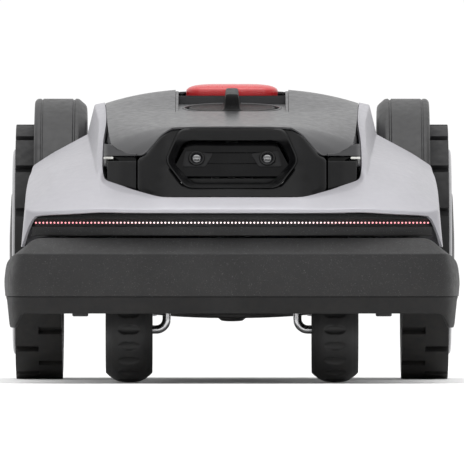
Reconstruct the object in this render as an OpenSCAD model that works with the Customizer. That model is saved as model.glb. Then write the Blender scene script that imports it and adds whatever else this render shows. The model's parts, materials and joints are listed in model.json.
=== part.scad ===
// Robotic lawn mower, millimetres. The machine stands on the XY plane and drives towards -Y.
// Origin: on the ground, under the centre of the overall box. Left means the machine's own left, +X.

/* [Overall] */
// Width over the bumper
overall_w = 430; // [426:1:440]
// Length from bumper face to charging contacts
overall_l = 640; // [636:1:644]
// Wall thickness of the moulded shells
wall = 3; // [2.5:0.1:3.5]

/* [Drive wheels] */
// Rolling radius over the lugs
wheel_r = 123; // [119:1:124]
// Width of the tread
tread_w = 45; // [40:1:45]
// Lug height
lug_h = 6; // [4:0.5:7]
// Lugs in each of the two rows
lug_count = 16; // [10:1:18]

/* [Front casters] */
// Radius of the caster tyre at its crown
caster_r = 50; // [46:1:51]
// Width of the caster tyre
caster_w = 44; // [38:1:44]
// Distance of the axle behind the swivel axis
caster_trail = 25; // [20:1:25]
// Radius of the bent steel rod
rod_r = 4; // [3.5:0.1:4]

/* [Cutting deck] */
// Height adjustment travel
lift = 40; // [20:5:40]
// Knob turn for the whole travel, degrees
knob_turn = 270; // [240:10:280]
// Radius of the blade disc
disc_r = 105; // [98:1:106]
// Blade length from pivot to tip
blade_l = 28; // [24:1:29]

/* [Controls] */
// Radius of the height knob
knob_r = 42; // [39:0.5:42.5]
// Stop button width
button_w = 88; // [80:1:90]
// Stop button depth, front to back
button_d = 56; // [50:1:58]
// Bumper travel
bumper_travel = 6; // [4:1:7]

/* [Hidden] */
$fn = 48;
eps = 0.01;
running = 0.1;                       // radial clearance of a running fit

front_y = -overall_l / 2;            // bumper face
rear_y = overall_l / 2;              // face of the charging contacts
half_w = overall_w / 2;

// Drive wheels
wheel_y = 185;                       // rear axle line
wheel_outer_x = 208.5;
wheel_inner_x = wheel_outer_x - tread_w;
rim_r = 99;                          // seat of the tyre on the wheel disc
axle_r = 8;
lug_gap_deg = 4;                     // angle of the gap between two lugs
lug_pitch = 360 / lug_count;
first_gap = 18;                      // angle of the first outer gap above the forward horizontal
motor_neck_r = 26;                   // drive motor where it passes the walls

// Fenders
fender_in = wheel_r + 8;
fender_out = wheel_r + 25;
fender_x = [140, 190.4];
fender_foot = 27;                    // the arch starts this far above the axle

// Casters
swivel = [97, -215];
rod_x = 61.6;                        // vertical leg of the rod, inboard of the wheel
bend_r = 10;
caster_axle_y = swivel[1] + caster_trail;
rod_over_z = 110;                    // the rod passes over the wheel at this height

// Chassis
floor_z = 68;
nose_floor_z = 118;                  // raised floor over the casters
pan_top = 128;
pan_x = 136;
pan_rear = 300;
step_y = -136.5;                     // where the raised floor begins
pan_front = -274;
pan_front_x = 176;
door_x = 66;
door_y = [130, 256];
pin_at = [40, 108];                   // bumper guide pins, half spacing and height

// Cutting deck. It works in its own frame, leaning forward, with its origin under the disc
deck_y = -10;
deck_z = 71;
deck_tilt = 6;
blade_motor_r = 32;
guide_x = 62;
guide_r = 4;
shaft_r = 4;
recess_r = 122;
recess_top = 10;
blade_pivot_r = 88;
pivot_screw_r = 2.5;
drum_r = 20;
drum_z = [86, 142];
pin_z = 134;                         // follower pin with the deck fully up
pin_r = 2.5;
bridge_z = 146;

// Height knob, in the deck's frame
dish_r = 44.8;
dish_floor = 178;
knob_base = 181;
knob_top = 191;
pocket_floor = 190;
pocket_x = 54;
pocket_y = [-78, 20, 92];            // front, front of the button seat, rear

// Stop button
button_y = 52;
button_z = 270.5;
button_top = 284;
seat_z = 272.4;

// Front fascia, leaning back from the vertical
bay_z = 210;
bay_lean = 24;
fascia_foot = [-288, 174.5];
bay_y = fascia_foot[0] + (bay_z - fascia_foot[1]) * tan(bay_lean);

// Top cover, left half: one row of points per station from the front round the corner to the rear.
// Each row runs rim, pillar ridge, crease, side, shoulder, skirt
cover_rows = [
    [[0, -288, 174.5], [0, -291, 172.6], [0, -296, 169.4], [0, -301, 166.2], [0, -305.2, 163.2], [0, -306, 160]],
    [[60, -286.5, 174.5], [61, -289.5, 172.6], [61.5, -294.5, 169.4], [62, -299.5, 166.2], [62, -303.8, 163.2],
        [62, -304.6, 160]],
    [[88, -264, 180.4], [91.5, -273, 177], [94, -282, 172.5], [96, -291, 168], [97, -300.3, 163.5],
        [97, -301.2, 160.2]],
    [[104.7, -245.5, 186], [112, -257, 182], [121.4, -273, 174.8], [120, -286, 169.3], [118.9, -296.8, 164],
        [119, -297.6, 160.6]],
    [[120, -225, 192.6], [122.5, -236, 189.3], [124, -250, 184], [138, -270, 174], [152, -285.5, 162.6],
        [152.3, -286.4, 159]],
    [[122.3, -203, 205], [126.6, -208, 200.5], [127.8, -215, 196.5], [158, -243, 180], [183, -267.5, 161.3],
        [184, -268.5, 157]],
    [[122.4, -188, 211.5], [127.8, -189, 207], [129.4, -190, 202.8], [167, -214, 187], [194, -250, 163.5],
        [197.6, -254, 128]],
    [[122, -150, 226], [127, -150, 222], [131, -150, 211], [168, -158, 200], [194.7, -172, 178], [199, -172, 128]],
    [[119.5, -80, 248], [126.5, -80, 244.5], [133.5, -80, 219], [170, -82, 209], [193, -84, 194], [200, -84, 128]],
    [[120.5, -20, 259], [129, -20, 256], [136, -20, 228], [171.5, -20, 214], [191.5, -20, 200], [200, -20, 128]],
    [[122, 30, 266], [131.5, 30, 264], [138.4, 30, 235.6], [173, 30, 217], [190, 30, 205.7], [200, 30, 128]],
    [[121.8, 35, 266], [131.3, 35, 263.8], [138.2, 35, 235], [138.6, 35, 215], [139, 35, 200], [139.4, 35, 129]],
    [[121, 120, 261], [130.5, 120, 258.5], [138, 120, 231], [138.5, 120, 214], [139, 120, 196], [139.4, 120, 129]],
    [[119, 200, 250], [128.5, 200, 247], [136.4, 200, 222], [137.2, 200, 206], [138, 200, 190], [138.8, 200, 129]],
    [[112, 255, 231.5], [121, 255, 228], [129, 255, 205], [130, 255, 188], [131, 255, 174], [132, 255, 129.5]],
    [[104, 316, 188], [110, 316, 185], [115, 316, 171], [116, 316, 160], [117, 316, 150], [118.5, 316, 131]]];

// Bumper, left half: per station the foot of the shell, its widest line, its crease and its top edge
bumper_rows = [
    [[0, -319.7, 81.7], [0, -320, 98], [0, -318.5, 121.5], [0, -297, 136.5]],
    [[60, -318.8, 81.7], [60, -319, 98], [60, -317.5, 121.5], [58, -296, 136.5]],
    [[120, -315.8, 81.7], [120, -316, 98], [119.5, -314.5, 121.5], [115, -293, 136.5]],
    [[165, -311.2, 81.7], [165, -311.5, 98], [164, -310, 121.5], [157, -288.5, 136.5]],
    [[190, -306.2, 81.7], [190, -306.5, 98], [188, -305, 121.5], [180, -284.5, 136.5]],
    [[199, -300.5, 81.7], [199.3, -301, 98], [196.5, -299.5, 121.5], [186.5, -281, 134.5]],
    [[205, -291.5, 81.7], [205.5, -292, 98], [201.5, -291, 121.3], [193.5, -277, 129]],
    [[208.5, -279, 81.7], [209, -279, 98], [204.5, -279, 120.5], [200.5, -270, 123.5]],
    [[211.5, -255, 81.7], [212.3, -255, 98], [208.5, -255, 117.5], [204.5, -253, 119]],
    [[213, -225, 81.7], [214, -225, 97], [212, -225, 112.5], [208.5, -225, 113.8]],
    [[213.8, -190, 81.7], [215, -190, 95], [213.6, -190, 106], [210.5, -190, 107]],
    [[213.5, -156, 81.7], [214.6, -156, 92], [213.8, -156, 99], [211, -156, 100]]];
skirt_drop = [65.5, 65.5, 65.5, 65.5, 65.5, 65.5, 58, 52, 52, 52, 52, 54];

// Hood: a centre line that falls away to an edge line on each side
hood_edge = [[-258, 56, 240], [-252, 66, 234], [-243, 86, 214], [-232, 101, 217], [-215, 113.5, 225],
    [-150, 117.5, 242], [-60, 119.5, 256], [45, 121, 265.5], [200, 118, 249.5], [255, 111, 231],
    [316, 103.4, 188]];
hood_centre = [[-258, 0, 241.2], [-180, 0, 247], [-76, 0, 257], [-30, 0, 265.5], [10, 0, 274],
    [50, 0, 280], [120, 0, 275.5], [200, 0, 258], [255, 0, 237], [316, 0, 193]];
hood_stations = [-251.5, -248, -243, -232, -215, -185, -150, -105, -60, -20, 15, 45, 80, 120, 160, 200, 230,
    255, 285, 316];
hood_steps = [for (i = [-9:9]) i / 9];

// Point [x, z] of a line at a given y
function at(line, y) = [lookup(y, [for (p = line) [p[0], p[1]]]), lookup(y, [for (p = line) [p[0], p[2]]])];
function hood_point(s, y) = let (edge = at(hood_edge, y), top = at(hood_centre, y)[1])
    [s * edge[0], y, top - (top - edge[1]) * pow(abs(s), 2.75)];

// Sections joined into one closed skin; every section has the same number of points
module loft(sections) {
    n = len(sections[0]);
    m = len(sections);
    sides = [for (i = [0:m - 2], j = [0:n - 1])
        let (a = i * n + j, b = i * n + (j + 1) % n) each [[a, a + n, b + n], [a, b + n, b]]];
    caps = [[for (j = [0:n - 1]) j], [for (j = [n - 1:-1:0]) (m - 1) * n + j]];
    polyhedron([for (s = sections) each s], concat(sides, caps), convexity = 8);
}

// Shell between an outer and an inner grid of points
module shell(outer, inner) {
    n = len(outer[0]);
    m = len(outer);
    k = n * m;
    faces = [for (i = [0:m - 2], j = [0:n - 2])
        let (a = i * n + j, b = a + 1, c = a + n, d = c + 1)
        each [[a, b, d], [a, d, c], [k + a, k + d, k + b], [k + a, k + c, k + d]]];
    ends = [for (j = [0:n - 2]) let (a = j, b = j + 1, c = (m - 1) * n + j, d = c + 1)
        each [[a, k + b, b], [a, k + a, k + b], [c, d, k + d], [c, k + d, k + c]]];
    edges = [for (i = [0:m - 2]) let (a = i * n, b = a + n, c = a + n - 1, d = c + n)
        each [[a, b, k + b], [a, k + b, k + a], [c, k + d, d], [c, k + c, k + d]]];
    points = concat([for (r = outer) each r], [for (r = inner) each r]);
    polyhedron(points, concat(faces, ends, edges), convexity = 6);
}

// Plate between a grid of points and the same grid moved along a vector
module sheet_solid(rows, move) { shell(rows, [for (r = rows) [for (p = r) p + move]]); }

// Rows of the left half with their mirror images, from the right rear round the front to the left rear
function both_halves(rows) = concat(
    [for (i = [len(rows) - 1:-1:1]) [for (p = rows[i]) [-p[0], p[1], p[2]]]], rows);

module box(low, high) { translate(low) cube(high - low); }

module along_x(from, to, r) { translate([from, 0, 0]) rotate([0, 90, 0]) cylinder(h = to - from, r = r); }

// Draws its children on the machine's left (+X, side 1) or right (side -1)
module on_side(side) { mirror([side < 0 ? 1 : 0, 0, 0]) children(); }

module both_sides() {
    on_side(1) children();
    on_side(-1) children();
}

// ---------- shells ----------

// Inner face of the cover: walls that face forward move back, walls that face sideways move in
function cover_inner(rows) = [for (i = [0:len(rows) - 1]) let (f = lookup(i, [[3, 1], [7, 0]]))
    [for (j = [0:5]) rows[i][j] + [-(1 - f) * (j > 3 ? wall : j > 0 ? 2 : 0), f * (j > 3 ? wall : 1),
        j == 5 ? 0 : j == 4 ? -wall / 2 : -wall]]];

module top_cover() {
    color("silver") difference() {
        shell(both_halves(cover_rows), both_halves(cover_inner(cover_rows)));
        both_sides() at_wheel() box([130, -motor_neck_r - 1, -20], [150, motor_neck_r + 1, motor_neck_r + 1]);
    }
}

module in_deck() { translate([0, deck_y, deck_z]) rotate([deck_tilt, 0, 0]) children(); }

module at_wheel() { translate([0, wheel_y, wheel_r]) children(); }

module hood() {
    rows = [for (y = hood_stations) [for (s = hood_steps) hood_point(s, y)]];
    color("dimgray") difference() {
        sheet_solid(rows, [0, 0, -wall]);
        box([-pocket_x, pocket_y[0], 190], [pocket_x, pocket_y[2], 310]);
    }
}

// Side wall of the tray, seen from the side as [y, z]
tray_wall = [[-77.7, 251], [-77.7, 255], [-30, 263.6], [10, 271.8], [45, 277], [91.7, 276], [91.7, 259],
    [20, 259]];

// Tray let into the hood: the dish of the height knob and, behind it, the seat of the stop button
module control_tray() {
    edge = pocket_x - 0.3;
    color([0.3, 0.3, 0.31]) difference() {
        union() {
            intersection() {
                in_deck() box([-edge, -70, pocket_floor - wall], [edge, 40, pocket_floor]);
                box([-edge, pocket_y[0] + 0.3, 200], [edge, pocket_y[1] + 1, 320]);
            }
            in_deck() translate([0, 0, dish_floor - wall]) cylinder(h = 13, r = dish_r + wall);
            box([-edge, pocket_y[1], 259], [edge, pocket_y[2] - 0.3, seat_z]);
            both_sides() translate([edge - 2.5, 0, 0]) rotate([90, 0, 90]) linear_extrude(2.5) polygon(tray_wall);
            both_sides() box([12.3, button_y - 8, 225], [15, button_y + 8, 259.5]);
            box([-13, button_y - 8, 225], [13, button_y + 8, 227.7]);
        }
        in_deck() translate([0, 0, dish_floor]) cylinder(h = 60, r = dish_r);
        in_deck() translate([0, 0, dish_floor - 2 * wall]) cylinder(h = 60, r = 6 + 2 * running);
        translate([0, button_y, 265.5]) rounded_slab(button_w + 2, button_d + 2, 30, 21);
        translate([0, button_y, 250]) cylinder(h = 30, r = 5 + running);
    }
}

// Point of the fascia at half width x and height z: it leans back and its ends sweep rearward
function fascia_y(x, z) = fascia_foot[0] + 0.5 + (z - fascia_foot[1]) * tan(bay_lean)
    + lookup(abs(x), [[0, 0], [40, 0.5], [62, 3], [75, 11.5], [90, 23], [105, 38], [120, 55], [122, 68]]);

module nose_panel() {
    xs = [for (i = [-9:9]) i * 88 / 9];
    color([0.06, 0.06, 0.065]) difference() {
        sheet_solid([for (v = [0:0.25:1]) [for (x = xs)
            let (low = lookup(abs(x), [[0, 175.5], [44, 175.5], [67, 177], [88, 182]]),
                 high = lookup(abs(x), [[0, 236.5], [50, 236.5], [66, 218], [76, 211], [88, 210]]),
                 z = low + v * (high - low)) [x, fascia_y(x, z), z]]], [0, wall, 0]);
        bay_frame() translate([0, 0, -30]) linear_extrude(60) bay_outline(0.3);
    }
}

// Corner panel on each side of the fascia, under the slot
module corner_panels() {
    xs = [for (i = [0:6]) 89 + i * 5.2];
    color([0.1, 0.1, 0.105]) both_sides() sheet_solid([for (v = [0:0.5:1]) [for (x = xs)
        let (low = lookup(x, [[89, 182.5], [116, 189], [120.2, 194]]), z = low + v * (210.5 - low))
        [x, fascia_y(x, z), z]]], [0, wall, 0]);
}

module bay_frame() { translate([0, bay_y, bay_z]) rotate([90 - bay_lean, 0, 0]) children(); }

// Hexagonal outline of the camera bay, in the leaning plane
module bay_outline(grow) {
    offset(r = grow + 5) polygon([[-44, 26.8], [44, 26.8], [57.5, -1], [35, -28], [-35, -28], [-57.5, -1]]);
}

module camera_bezel() {
    color([0.16, 0.16, 0.17]) bay_frame() difference() {
        translate([0, 0, -16]) linear_extrude(18) bay_outline(0);
        translate([0, 0, -20]) linear_extrude(30) bay_outline(-8);
    }
}

module camera_window() {
    color("black") bay_frame() translate([0, 0, -15]) difference() {
        linear_extrude(2.5) intersection() {
            bay_outline(-8.3);
            translate([-60, -12]) square([120, 60]);
        }
        for (x = [-33, 33]) translate([x, 7, -1]) cylinder(h = 5, r = 7.2);
    }
}

module camera_ramp() {
    color([0.12, 0.12, 0.13]) bay_frame() intersection() {
        translate([0, 0, -20]) linear_extrude(30) bay_outline(-8.3);
        translate([0, -12.5, -15.5]) rotate([28, 0, 0]) translate([-60, -40, 0]) cube([120, 40, 2.5]);
    }
}

module camera_lenses() {
    color([0.2, 0.25, 0.3]) bay_frame() for (x = [-33, 33]) translate([x, 7, -17]) {
        cylinder(h = 5, r = 7);
        translate([0, 0, 5]) intersection() {
            translate([0, 0, -6.5]) sphere(r = 9);
            cylinder(h = 5, r = 6.2);
        }
    }
}

module camera_board() {
    color("darkgreen") bay_frame() {
        translate([-45, -6, -26]) cube([90, 26, 1.6]);
        for (x = [-33, 33]) translate([x, 7, -24.4]) cylinder(h = 7.3, r = 8.5);
    }
}

// ---------- light bar ----------

bar_y = [-300, -276];                // middle of the light bar, front and back
bar_z = [138, 161];
strip_z = [148, 153];
bar_sweep = 36;                      // how far the ends of the light bar lie behind its middle

// Bar with a swept front, between two depths and two heights
module swept_bar(half, y, z) {
    steps = [for (i = [-8:8]) i * half / 8];
    translate([0, 0, z[0]]) linear_extrude(z[1] - z[0]) polygon(concat(
        [for (x = steps) [x, y[0] + bar_sweep * pow(abs(x) / 186, 2)]],
        [for (i = [16:-1:0]) [steps[i], y[1] + bar_sweep * pow(abs(steps[i]) / 186, 2)]]));
}

module light_bar_housing() {
    color([0.13, 0.13, 0.14]) difference() {
        swept_bar(182, bar_y, [bar_z[0], 156.5]);
        swept_bar(179, [bar_y[0] - 5, bar_y[0] + 14], strip_z);
    }
}

module light_bar_strip() {
    color("darkred") swept_bar(178.5, [bar_y[0] + 5, bar_y[0] + 7], [strip_z[0] + 0.2, strip_z[1] - 0.2]);
}

module light_board() {
    color("darkgreen") swept_bar(178, [bar_y[0] + 11, bar_y[0] + 12.6], [strip_z[0] + 0.3, strip_z[1] - 0.3]);
}

// ---------- fenders and tail ----------

module fender(side) {
    color([0.22, 0.22, 0.225]) on_side(side) at_wheel() intersection() {
        difference() {
            along_x(fender_x[0], fender_x[1], fender_out);
            along_x(fender_x[0] + wall, fender_x[1] - wall, fender_out - wall);
            along_x(fender_x[0] + wall, fender_x[1] + 1, fender_in);
            along_x(fender_x[0] - 1, fender_x[1] + 1, 42);
        }
        box([0, -200, fender_foot], [300, rear_y - wheel_y - 0.5, 200]);
    }
}

module tail_panel() {
    color([0.15, 0.15, 0.16]) difference() {
        union() {
            box([-126, 300.5, 78], [126, 316, 127]);
            box([-100, 300.5, 127 - eps], [100, 316, 181]);
        }
        box([-123, 299, 81], [123, 312, 124]);
        box([-97, 299, 123.9], [97, 312, 178]);
        for (x = [-34, 34]) box([x - 12, 310, 96], [x + 12, 320, 108]);
    }
}

module charge_contacts() {
    color("goldenrod") for (x = [-34, 34]) box([x - 11.5, 312.5, 96.5], [x + 11.5, rear_y, 107.5]);
}

// ---------- chassis and what it carries ----------

module board_posts(r, z) {
    for (x = [-70, 70], y = [-236, -164]) translate([x, y, z[0]]) cylinder(h = z[1] - z[0], r = r);
}

module chassis_pan() {
    color([0.17, 0.17, 0.18]) difference() {
        union() {
            difference() {
                union() {
                    box([-pan_x, step_y, floor_z], [pan_x, pan_rear, pan_top]);
                    box([-pan_front_x, pan_front, nose_floor_z], [pan_front_x, step_y + wall, pan_top]);
                    both_sides() box([pan_x - eps, step_y, nose_floor_z], [190, 38, pan_top]);
                }
                box([-pan_x + wall, step_y + wall, floor_z + wall], [pan_x - wall, pan_rear - wall, 200]);
                box([-pan_front_x + wall, pan_front + 8, nose_floor_z + wall],
                    [pan_front_x - wall, step_y + 9, 200]);
                both_sides() box([pan_x - 5, step_y + wall, nose_floor_z + wall], [190 - wall, 38 - wall, 200]);
            }
            intersection() {
                in_deck() translate([0, 0, -30]) cylinder(h = recess_top + wall + 30, r = recess_r + wall, $fn = 96);
                box([-pan_x, step_y, floor_z], [pan_x, pan_rear, pan_top]);
            }
            both_sides() translate([swivel[0], swivel[1], nose_floor_z]) cylinder(h = 32, r = 12);
            board_posts(4, [nose_floor_z, 149.7]);
            both_sides() box([30, pan_front, 99], [50, pan_front + 8, nose_floor_z + 1]);
        }
        in_deck() translate([0, 0, -60]) cylinder(h = recess_top + 60, r = recess_r, $fn = 96);
        in_deck() cylinder(h = 60, r = blade_motor_r + 4);
        both_sides() {
            translate([swivel[0], swivel[1], 0]) cylinder(h = 200, r = 7);
            in_deck() translate([guide_x, 0, recess_top - 1]) cylinder(h = 40, r = guide_r);
            at_wheel() along_x(pan_x - 10, pan_x + 5, motor_neck_r + 1);
            translate([pin_at[0], pan_front - 1, pin_at[1]]) rotate([-90, 0, 0]) cylinder(h = 20, r = rod_r + running);
        }
        box([-door_x, door_y[0], floor_z - 1], [door_x, door_y[1], floor_z + wall + 1]);
    }
}

door_screws = [for (x = [-54, 54], y = [140, 246]) [x, y]];

module battery_door() {
    color([0.14, 0.14, 0.15]) difference() {
        box([-door_x + 0.5, door_y[0] + 0.5, floor_z], [door_x - 0.5, door_y[1] - 0.5, floor_z + wall]);
        for (p = door_screws) translate([p[0], p[1], 0]) cylinder(h = 100, r = 2.1);
    }
}

module underside_screws() {
    color("gray") for (p = door_screws) translate([p[0], p[1], floor_z - 2]) {
        cylinder(h = 1.98, r = 4);
        cylinder(h = 5, r = 2);
    }
}

module battery_pack() {
    color([0.2, 0.3, 0.45]) box([-62, 122, floor_z + wall + 4], [62, 264, 140]);
}

module main_board() {
    color("darkgreen") {
        box([-80, -244, 150], [80, -156, 151.6]);
        box([-20, -215, 151.6 - eps], [20, -180, 155]);
        box([-70, -220, 151.6 - eps], [-50, -180, 163]);
        box([40, -200, 151.6 - eps], [74, -170, 160]);
    }
}

// Eight-sided cable swept along its points, which never run straight up
module cable(points, r) {
    last = len(points) - 1;
    sections = [for (i = [0:last])
        let (d = points[min(i + 1, last)] - points[max(i - 1, 0)], t = d / norm(d),
             side = cross(t, [0, 0, 1]) / norm(cross(t, [0, 0, 1])), up = cross(side, t))
        [for (a = [0:45:315]) points[i] + r * (cos(a) * side + sin(a) * up)]];
    loft(sections);
}

module wiring() {
    color("black") {
        both_sides() cable([[76, -160, 155], [88, -140, 158], [104, -110, 152], [112, -40, 146],
            [112, 60, 146], [110, 120, 150], [108, 146, 153]], 2.5);
        cable([[10, -232, 155], [16, -240, 164], [20, -244, 176], [21, -247, 190]], 2);
    }
}

module drive_motors() {
    color([0.55, 0.56, 0.58]) both_sides() at_wheel() difference() {
        union() {
            along_x(84, 132, 34);
            along_x(132 - eps, 158, motor_neck_r);
        }
        along_x(112, 200, axle_r + running);
    }
}

module caster_bushes() {
    color("goldenrod") both_sides() translate([swivel[0], swivel[1], nose_floor_z]) difference() {
        cylinder(h = 32, r = 7 - 0.02);
        translate([0, 0, -1]) cylinder(h = 40, r = rod_r + running);
    }
}

module guide_rods() {
    color("lightgray") in_deck() both_sides() translate([guide_x, 0, recess_top - 1])
        cylinder(h = bridge_z + 5 - recess_top, r = guide_r - 0.02);
}

module lift_frame() {
    color([0.25, 0.25, 0.26]) in_deck() difference() {
        union() {
            box([-86, -14, bridge_z], [86, 14, bridge_z + 5]);
            both_sides() box([80, -14, recess_top + wall + 0.02], [86, 14, bridge_z + eps]);
        }
        both_sides() translate([guide_x, 0, bridge_z - 1]) cylinder(h = 10, r = guide_r);
        translate([0, 0, bridge_z - 1]) cylinder(h = 10, r = 6 + running);
    }
}

// ---------- bumper ----------

// A point of the bumper table, fitted to the overall width and length
function fit(p) = [p[0] * overall_w / 430, p[1] + 320 + front_y, p[2]];

// Unit vector that points outwards in plan at station i of a line of the table
function outward(line, i) = let (a = line[max(i - 1, 0)], b = line[min(i + 1, len(line) - 1)],
    d = [b[0] - a[0], b[1] - a[1]]) (i == 0 ? [0, -1] : [d[1], -d[0]] / norm(d));

// Row i moved inwards by the given amounts, one for each of its points, and lowered by another set
function drawn_in(rows, i, amounts, drops) = [for (j = [0:len(amounts) - 1])
    let (o = outward([for (r = rows) r[j]], i)) rows[i][j] - [o[0], o[1], 0] * amounts[j] - [0, 0, drops[j]]];

shell_rows = [for (r = bumper_rows) [for (p = r) fit(p)]];
shell_inner = [for (i = [0:len(shell_rows) - 1]) drawn_in(shell_rows, i, [3.4, 3.4, 3.4, 0.6], [0, 0, 1.6, wall])];
skirt_rows = [for (i = [0:len(shell_rows) - 1]) let (p = shell_rows[i][0]) [[p[0], p[1], skirt_drop[i]],
    [p[0], p[1], 81.3]]];
skirt_outer = [for (i = [0:len(skirt_rows) - 1]) drawn_in(skirt_rows, i, [4.4, 0.3], [0, 0])];
skirt_inner = [for (i = [0:len(skirt_rows) - 1]) drawn_in(skirt_rows, i, [7.8, 3.8], [0, 0])];

module bumper_shell() {
    color([0.2, 0.2, 0.205]) mirror([1, 0, 0]) shell(both_halves(shell_inner), both_halves(shell_rows));
}

module bumper_skirt() {
    color([0.12, 0.12, 0.125]) mirror([1, 0, 0]) shell(both_halves(skirt_inner), both_halves(skirt_outer));
}

module bumper_pins() {
    color("lightgray") both_sides() translate([pin_at[0], front_y + 5.8, pin_at[1]]) rotate([-90, 0, 0]) {
        cylinder(h = 52, r = rod_r);
        cylinder(h = 2, r = 7);
    }
}

module bumper_buffers() {
    reach = pan_front - front_y - 8.4;
    color([0.1, 0.1, 0.1]) both_sides() translate([pin_at[0], front_y + 8.1, pin_at[1]]) rotate([-90, 0, 0])
        rotate_extrude() polygon(concat([[4.6, 0]], [for (i = [0:8]) [i % 2 == 0 ? 5.6 : 7.5, i * reach / 8]],
            [[4.6, reach]]));
}

// ---------- stop button ----------

module rounded_slab(w, d, h, r) {
    linear_extrude(h) offset(r = r) square([w - 2 * r, d - 2 * r], center = true);
}

module stop_button() {
    color("firebrick") translate([0, button_y, button_z]) hull() {
        rounded_slab(button_w, button_d, 277.6 - button_z, 20);
        translate([0, 0, button_top - button_z - 5]) rounded_slab(button_w - 22, button_d - 12, 3.5, 16);
        translate([0, 0, button_top - button_z - 1]) rounded_slab(button_w - 44, button_d - 26, 1, 12);
    }
}

module stop_stem() {
    color([0.1, 0.1, 0.1]) translate([0, button_y, 0]) {
        translate([0, 0, 252]) cylinder(h = button_z - 252 - 0.02, r = 5);
        translate([0, 0, 252]) cylinder(h = 2, r = 8.5);
        translate([0, 0, 249.2]) cylinder(h = 3, r = 2);
    }
}

module stop_switch() {
    color([0.2, 0.2, 0.25]) box([-12, button_y - 8, 228], [12, button_y + 8, 245]);
}

module stop_spring() {
    color("silver") for (i = [0:2]) translate([0, button_y, 246.1 + i * 2.4])
        rotate_extrude() translate([7.4, 0]) circle(r = 0.7, $fn = 16);
}

// ---------- height knob ----------

module knob_dial() {
    color([0.06, 0.06, 0.06]) in_deck() difference() {
        union() {
            translate([0, 0, knob_base]) cylinder(h = knob_top - knob_base - 1.2, r = knob_r);
            translate([0, 0, knob_top - 1.2 - eps]) cylinder(h = 1.2 + eps, r1 = knob_r, r2 = knob_r - 1.2);
        }
        translate([0, 0, knob_base - 1]) cylinder(h = 5, r = knob_r - 4);
    }
}

module knob_grip() {
    color([0.1, 0.1, 0.1]) in_deck() translate([0, 0, knob_top + 0.02]) hull() {
        translate([-7.5, -33, 0]) cube([15, 66, 1]);
        translate([-5.2, -29, 13]) cube([10.4, 58, 2.6]);
    }
}

module knob_drum() {
    groove_z = [pin_z - lift - 3, pin_z + 3];
    twist = (lift + 6) / lift * knob_turn;
    lead_in = 3 / lift * knob_turn;
    color("gainsboro") in_deck() {
        translate([0, 0, drum_z[0]]) cylinder(h = groove_z[0] - drum_z[0] + eps, r = drum_r + 0.6);
        // Helical groove: turning the knob left-handed carries the follower pin down
        translate([0, 0, groove_z[0]]) rotate([0, 0, 90 - knob_turn - lead_in])
            linear_extrude(height = lift + 6, twist = -twist, slices = 36)
                polygon(concat([for (a = [24:12:336]) drum_r * [cos(a), sin(a)]],
                               [for (a = [-24:12:24]) 14.6 * [cos(a), sin(a)]]));
        translate([0, 0, groove_z[1] - eps]) cylinder(h = drum_z[1] - groove_z[1], r = drum_r + 0.6);
        translate([0, 0, drum_z[1] - 2 * eps]) cylinder(h = knob_base + 3.9 - drum_z[1], r = 6);
    }
}

// ---------- cutting deck ----------

module deck_carriage() {
    color([0.3, 0.3, 0.32]) in_deck() difference() {
        union() {
            box([-guide_x - 12, -26, 72], [guide_x + 12, 36, 78]);
            both_sides() translate([guide_x, 0, 56]) cylinder(h = 34, r = 9);
        }
        both_sides() translate([guide_x, 0, 40]) cylinder(h = 100, r = guide_r + running);
        translate([0, 0, 60]) cylinder(h = 40, r = 16);
    }
}

module blade_motor() {
    color([0.6, 0.6, 0.62]) in_deck() difference() {
        union() {
            translate([0, 0, 20]) cylinder(h = 52, r = blade_motor_r);
            translate([0, 0, 72 - eps]) cylinder(h = 8, r = 15.9);
        }
        translate([0, 0, 10]) cylinder(h = 32, r = shaft_r + running);
    }
}

module deck_arm() {
    color([0.35, 0.35, 0.37]) in_deck() {
        box([-8, 24, 78.02], [8, 32, pin_z + 6]);
        translate([0, 16.5, pin_z]) rotate([-90, 0, 0]) cylinder(h = 8, r = pin_r);
    }
}

module blade_disc() {
    color([0.25, 0.25, 0.26]) in_deck() {
        rotate_extrude($fn = 96) polygon([[0, -13.3], [10.5, -13.3], [14, -10.5], [40, -2], [46, 0],
            [disc_r - 2, 0], [disc_r, 1.5], [disc_r, 4], [48, 4], [14, -5], [10, -5], [10, 8], [0, 8]]);
        translate([0, 0, 7.9]) cylinder(h = 33, r = shaft_r);
    }
}

function blade_angle(i) = 90 + i * 120;

module at_blade(i) {
    in_deck() rotate([0, 0, blade_angle(i)]) translate([blade_pivot_r, 0, 0]) children();
}

module blade_screws() {
    color("gray") for (i = [0:2]) at_blade(i) {
        translate([0, 0, -4]) cylinder(h = 2, r = 4.6);
        translate([0, 0, -2 - eps]) cylinder(h = 2, r = pivot_screw_r);
    }
}

module blade(i) {
    color("lightgray") at_blade(i) difference() {
        translate([0, 0, -1.5]) linear_extrude(1) union() {
            translate([-9, -9]) square([blade_l + 4, 18]);
            polygon([[blade_l - 5.01, -9], [blade_l, -5], [blade_l, 5], [blade_l - 5.01, 9]]);
        }
        translate([0, 0, -6]) cylinder(h = 12, r = pivot_screw_r + 0.4);
    }
}

// ---------- casters ----------

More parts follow.
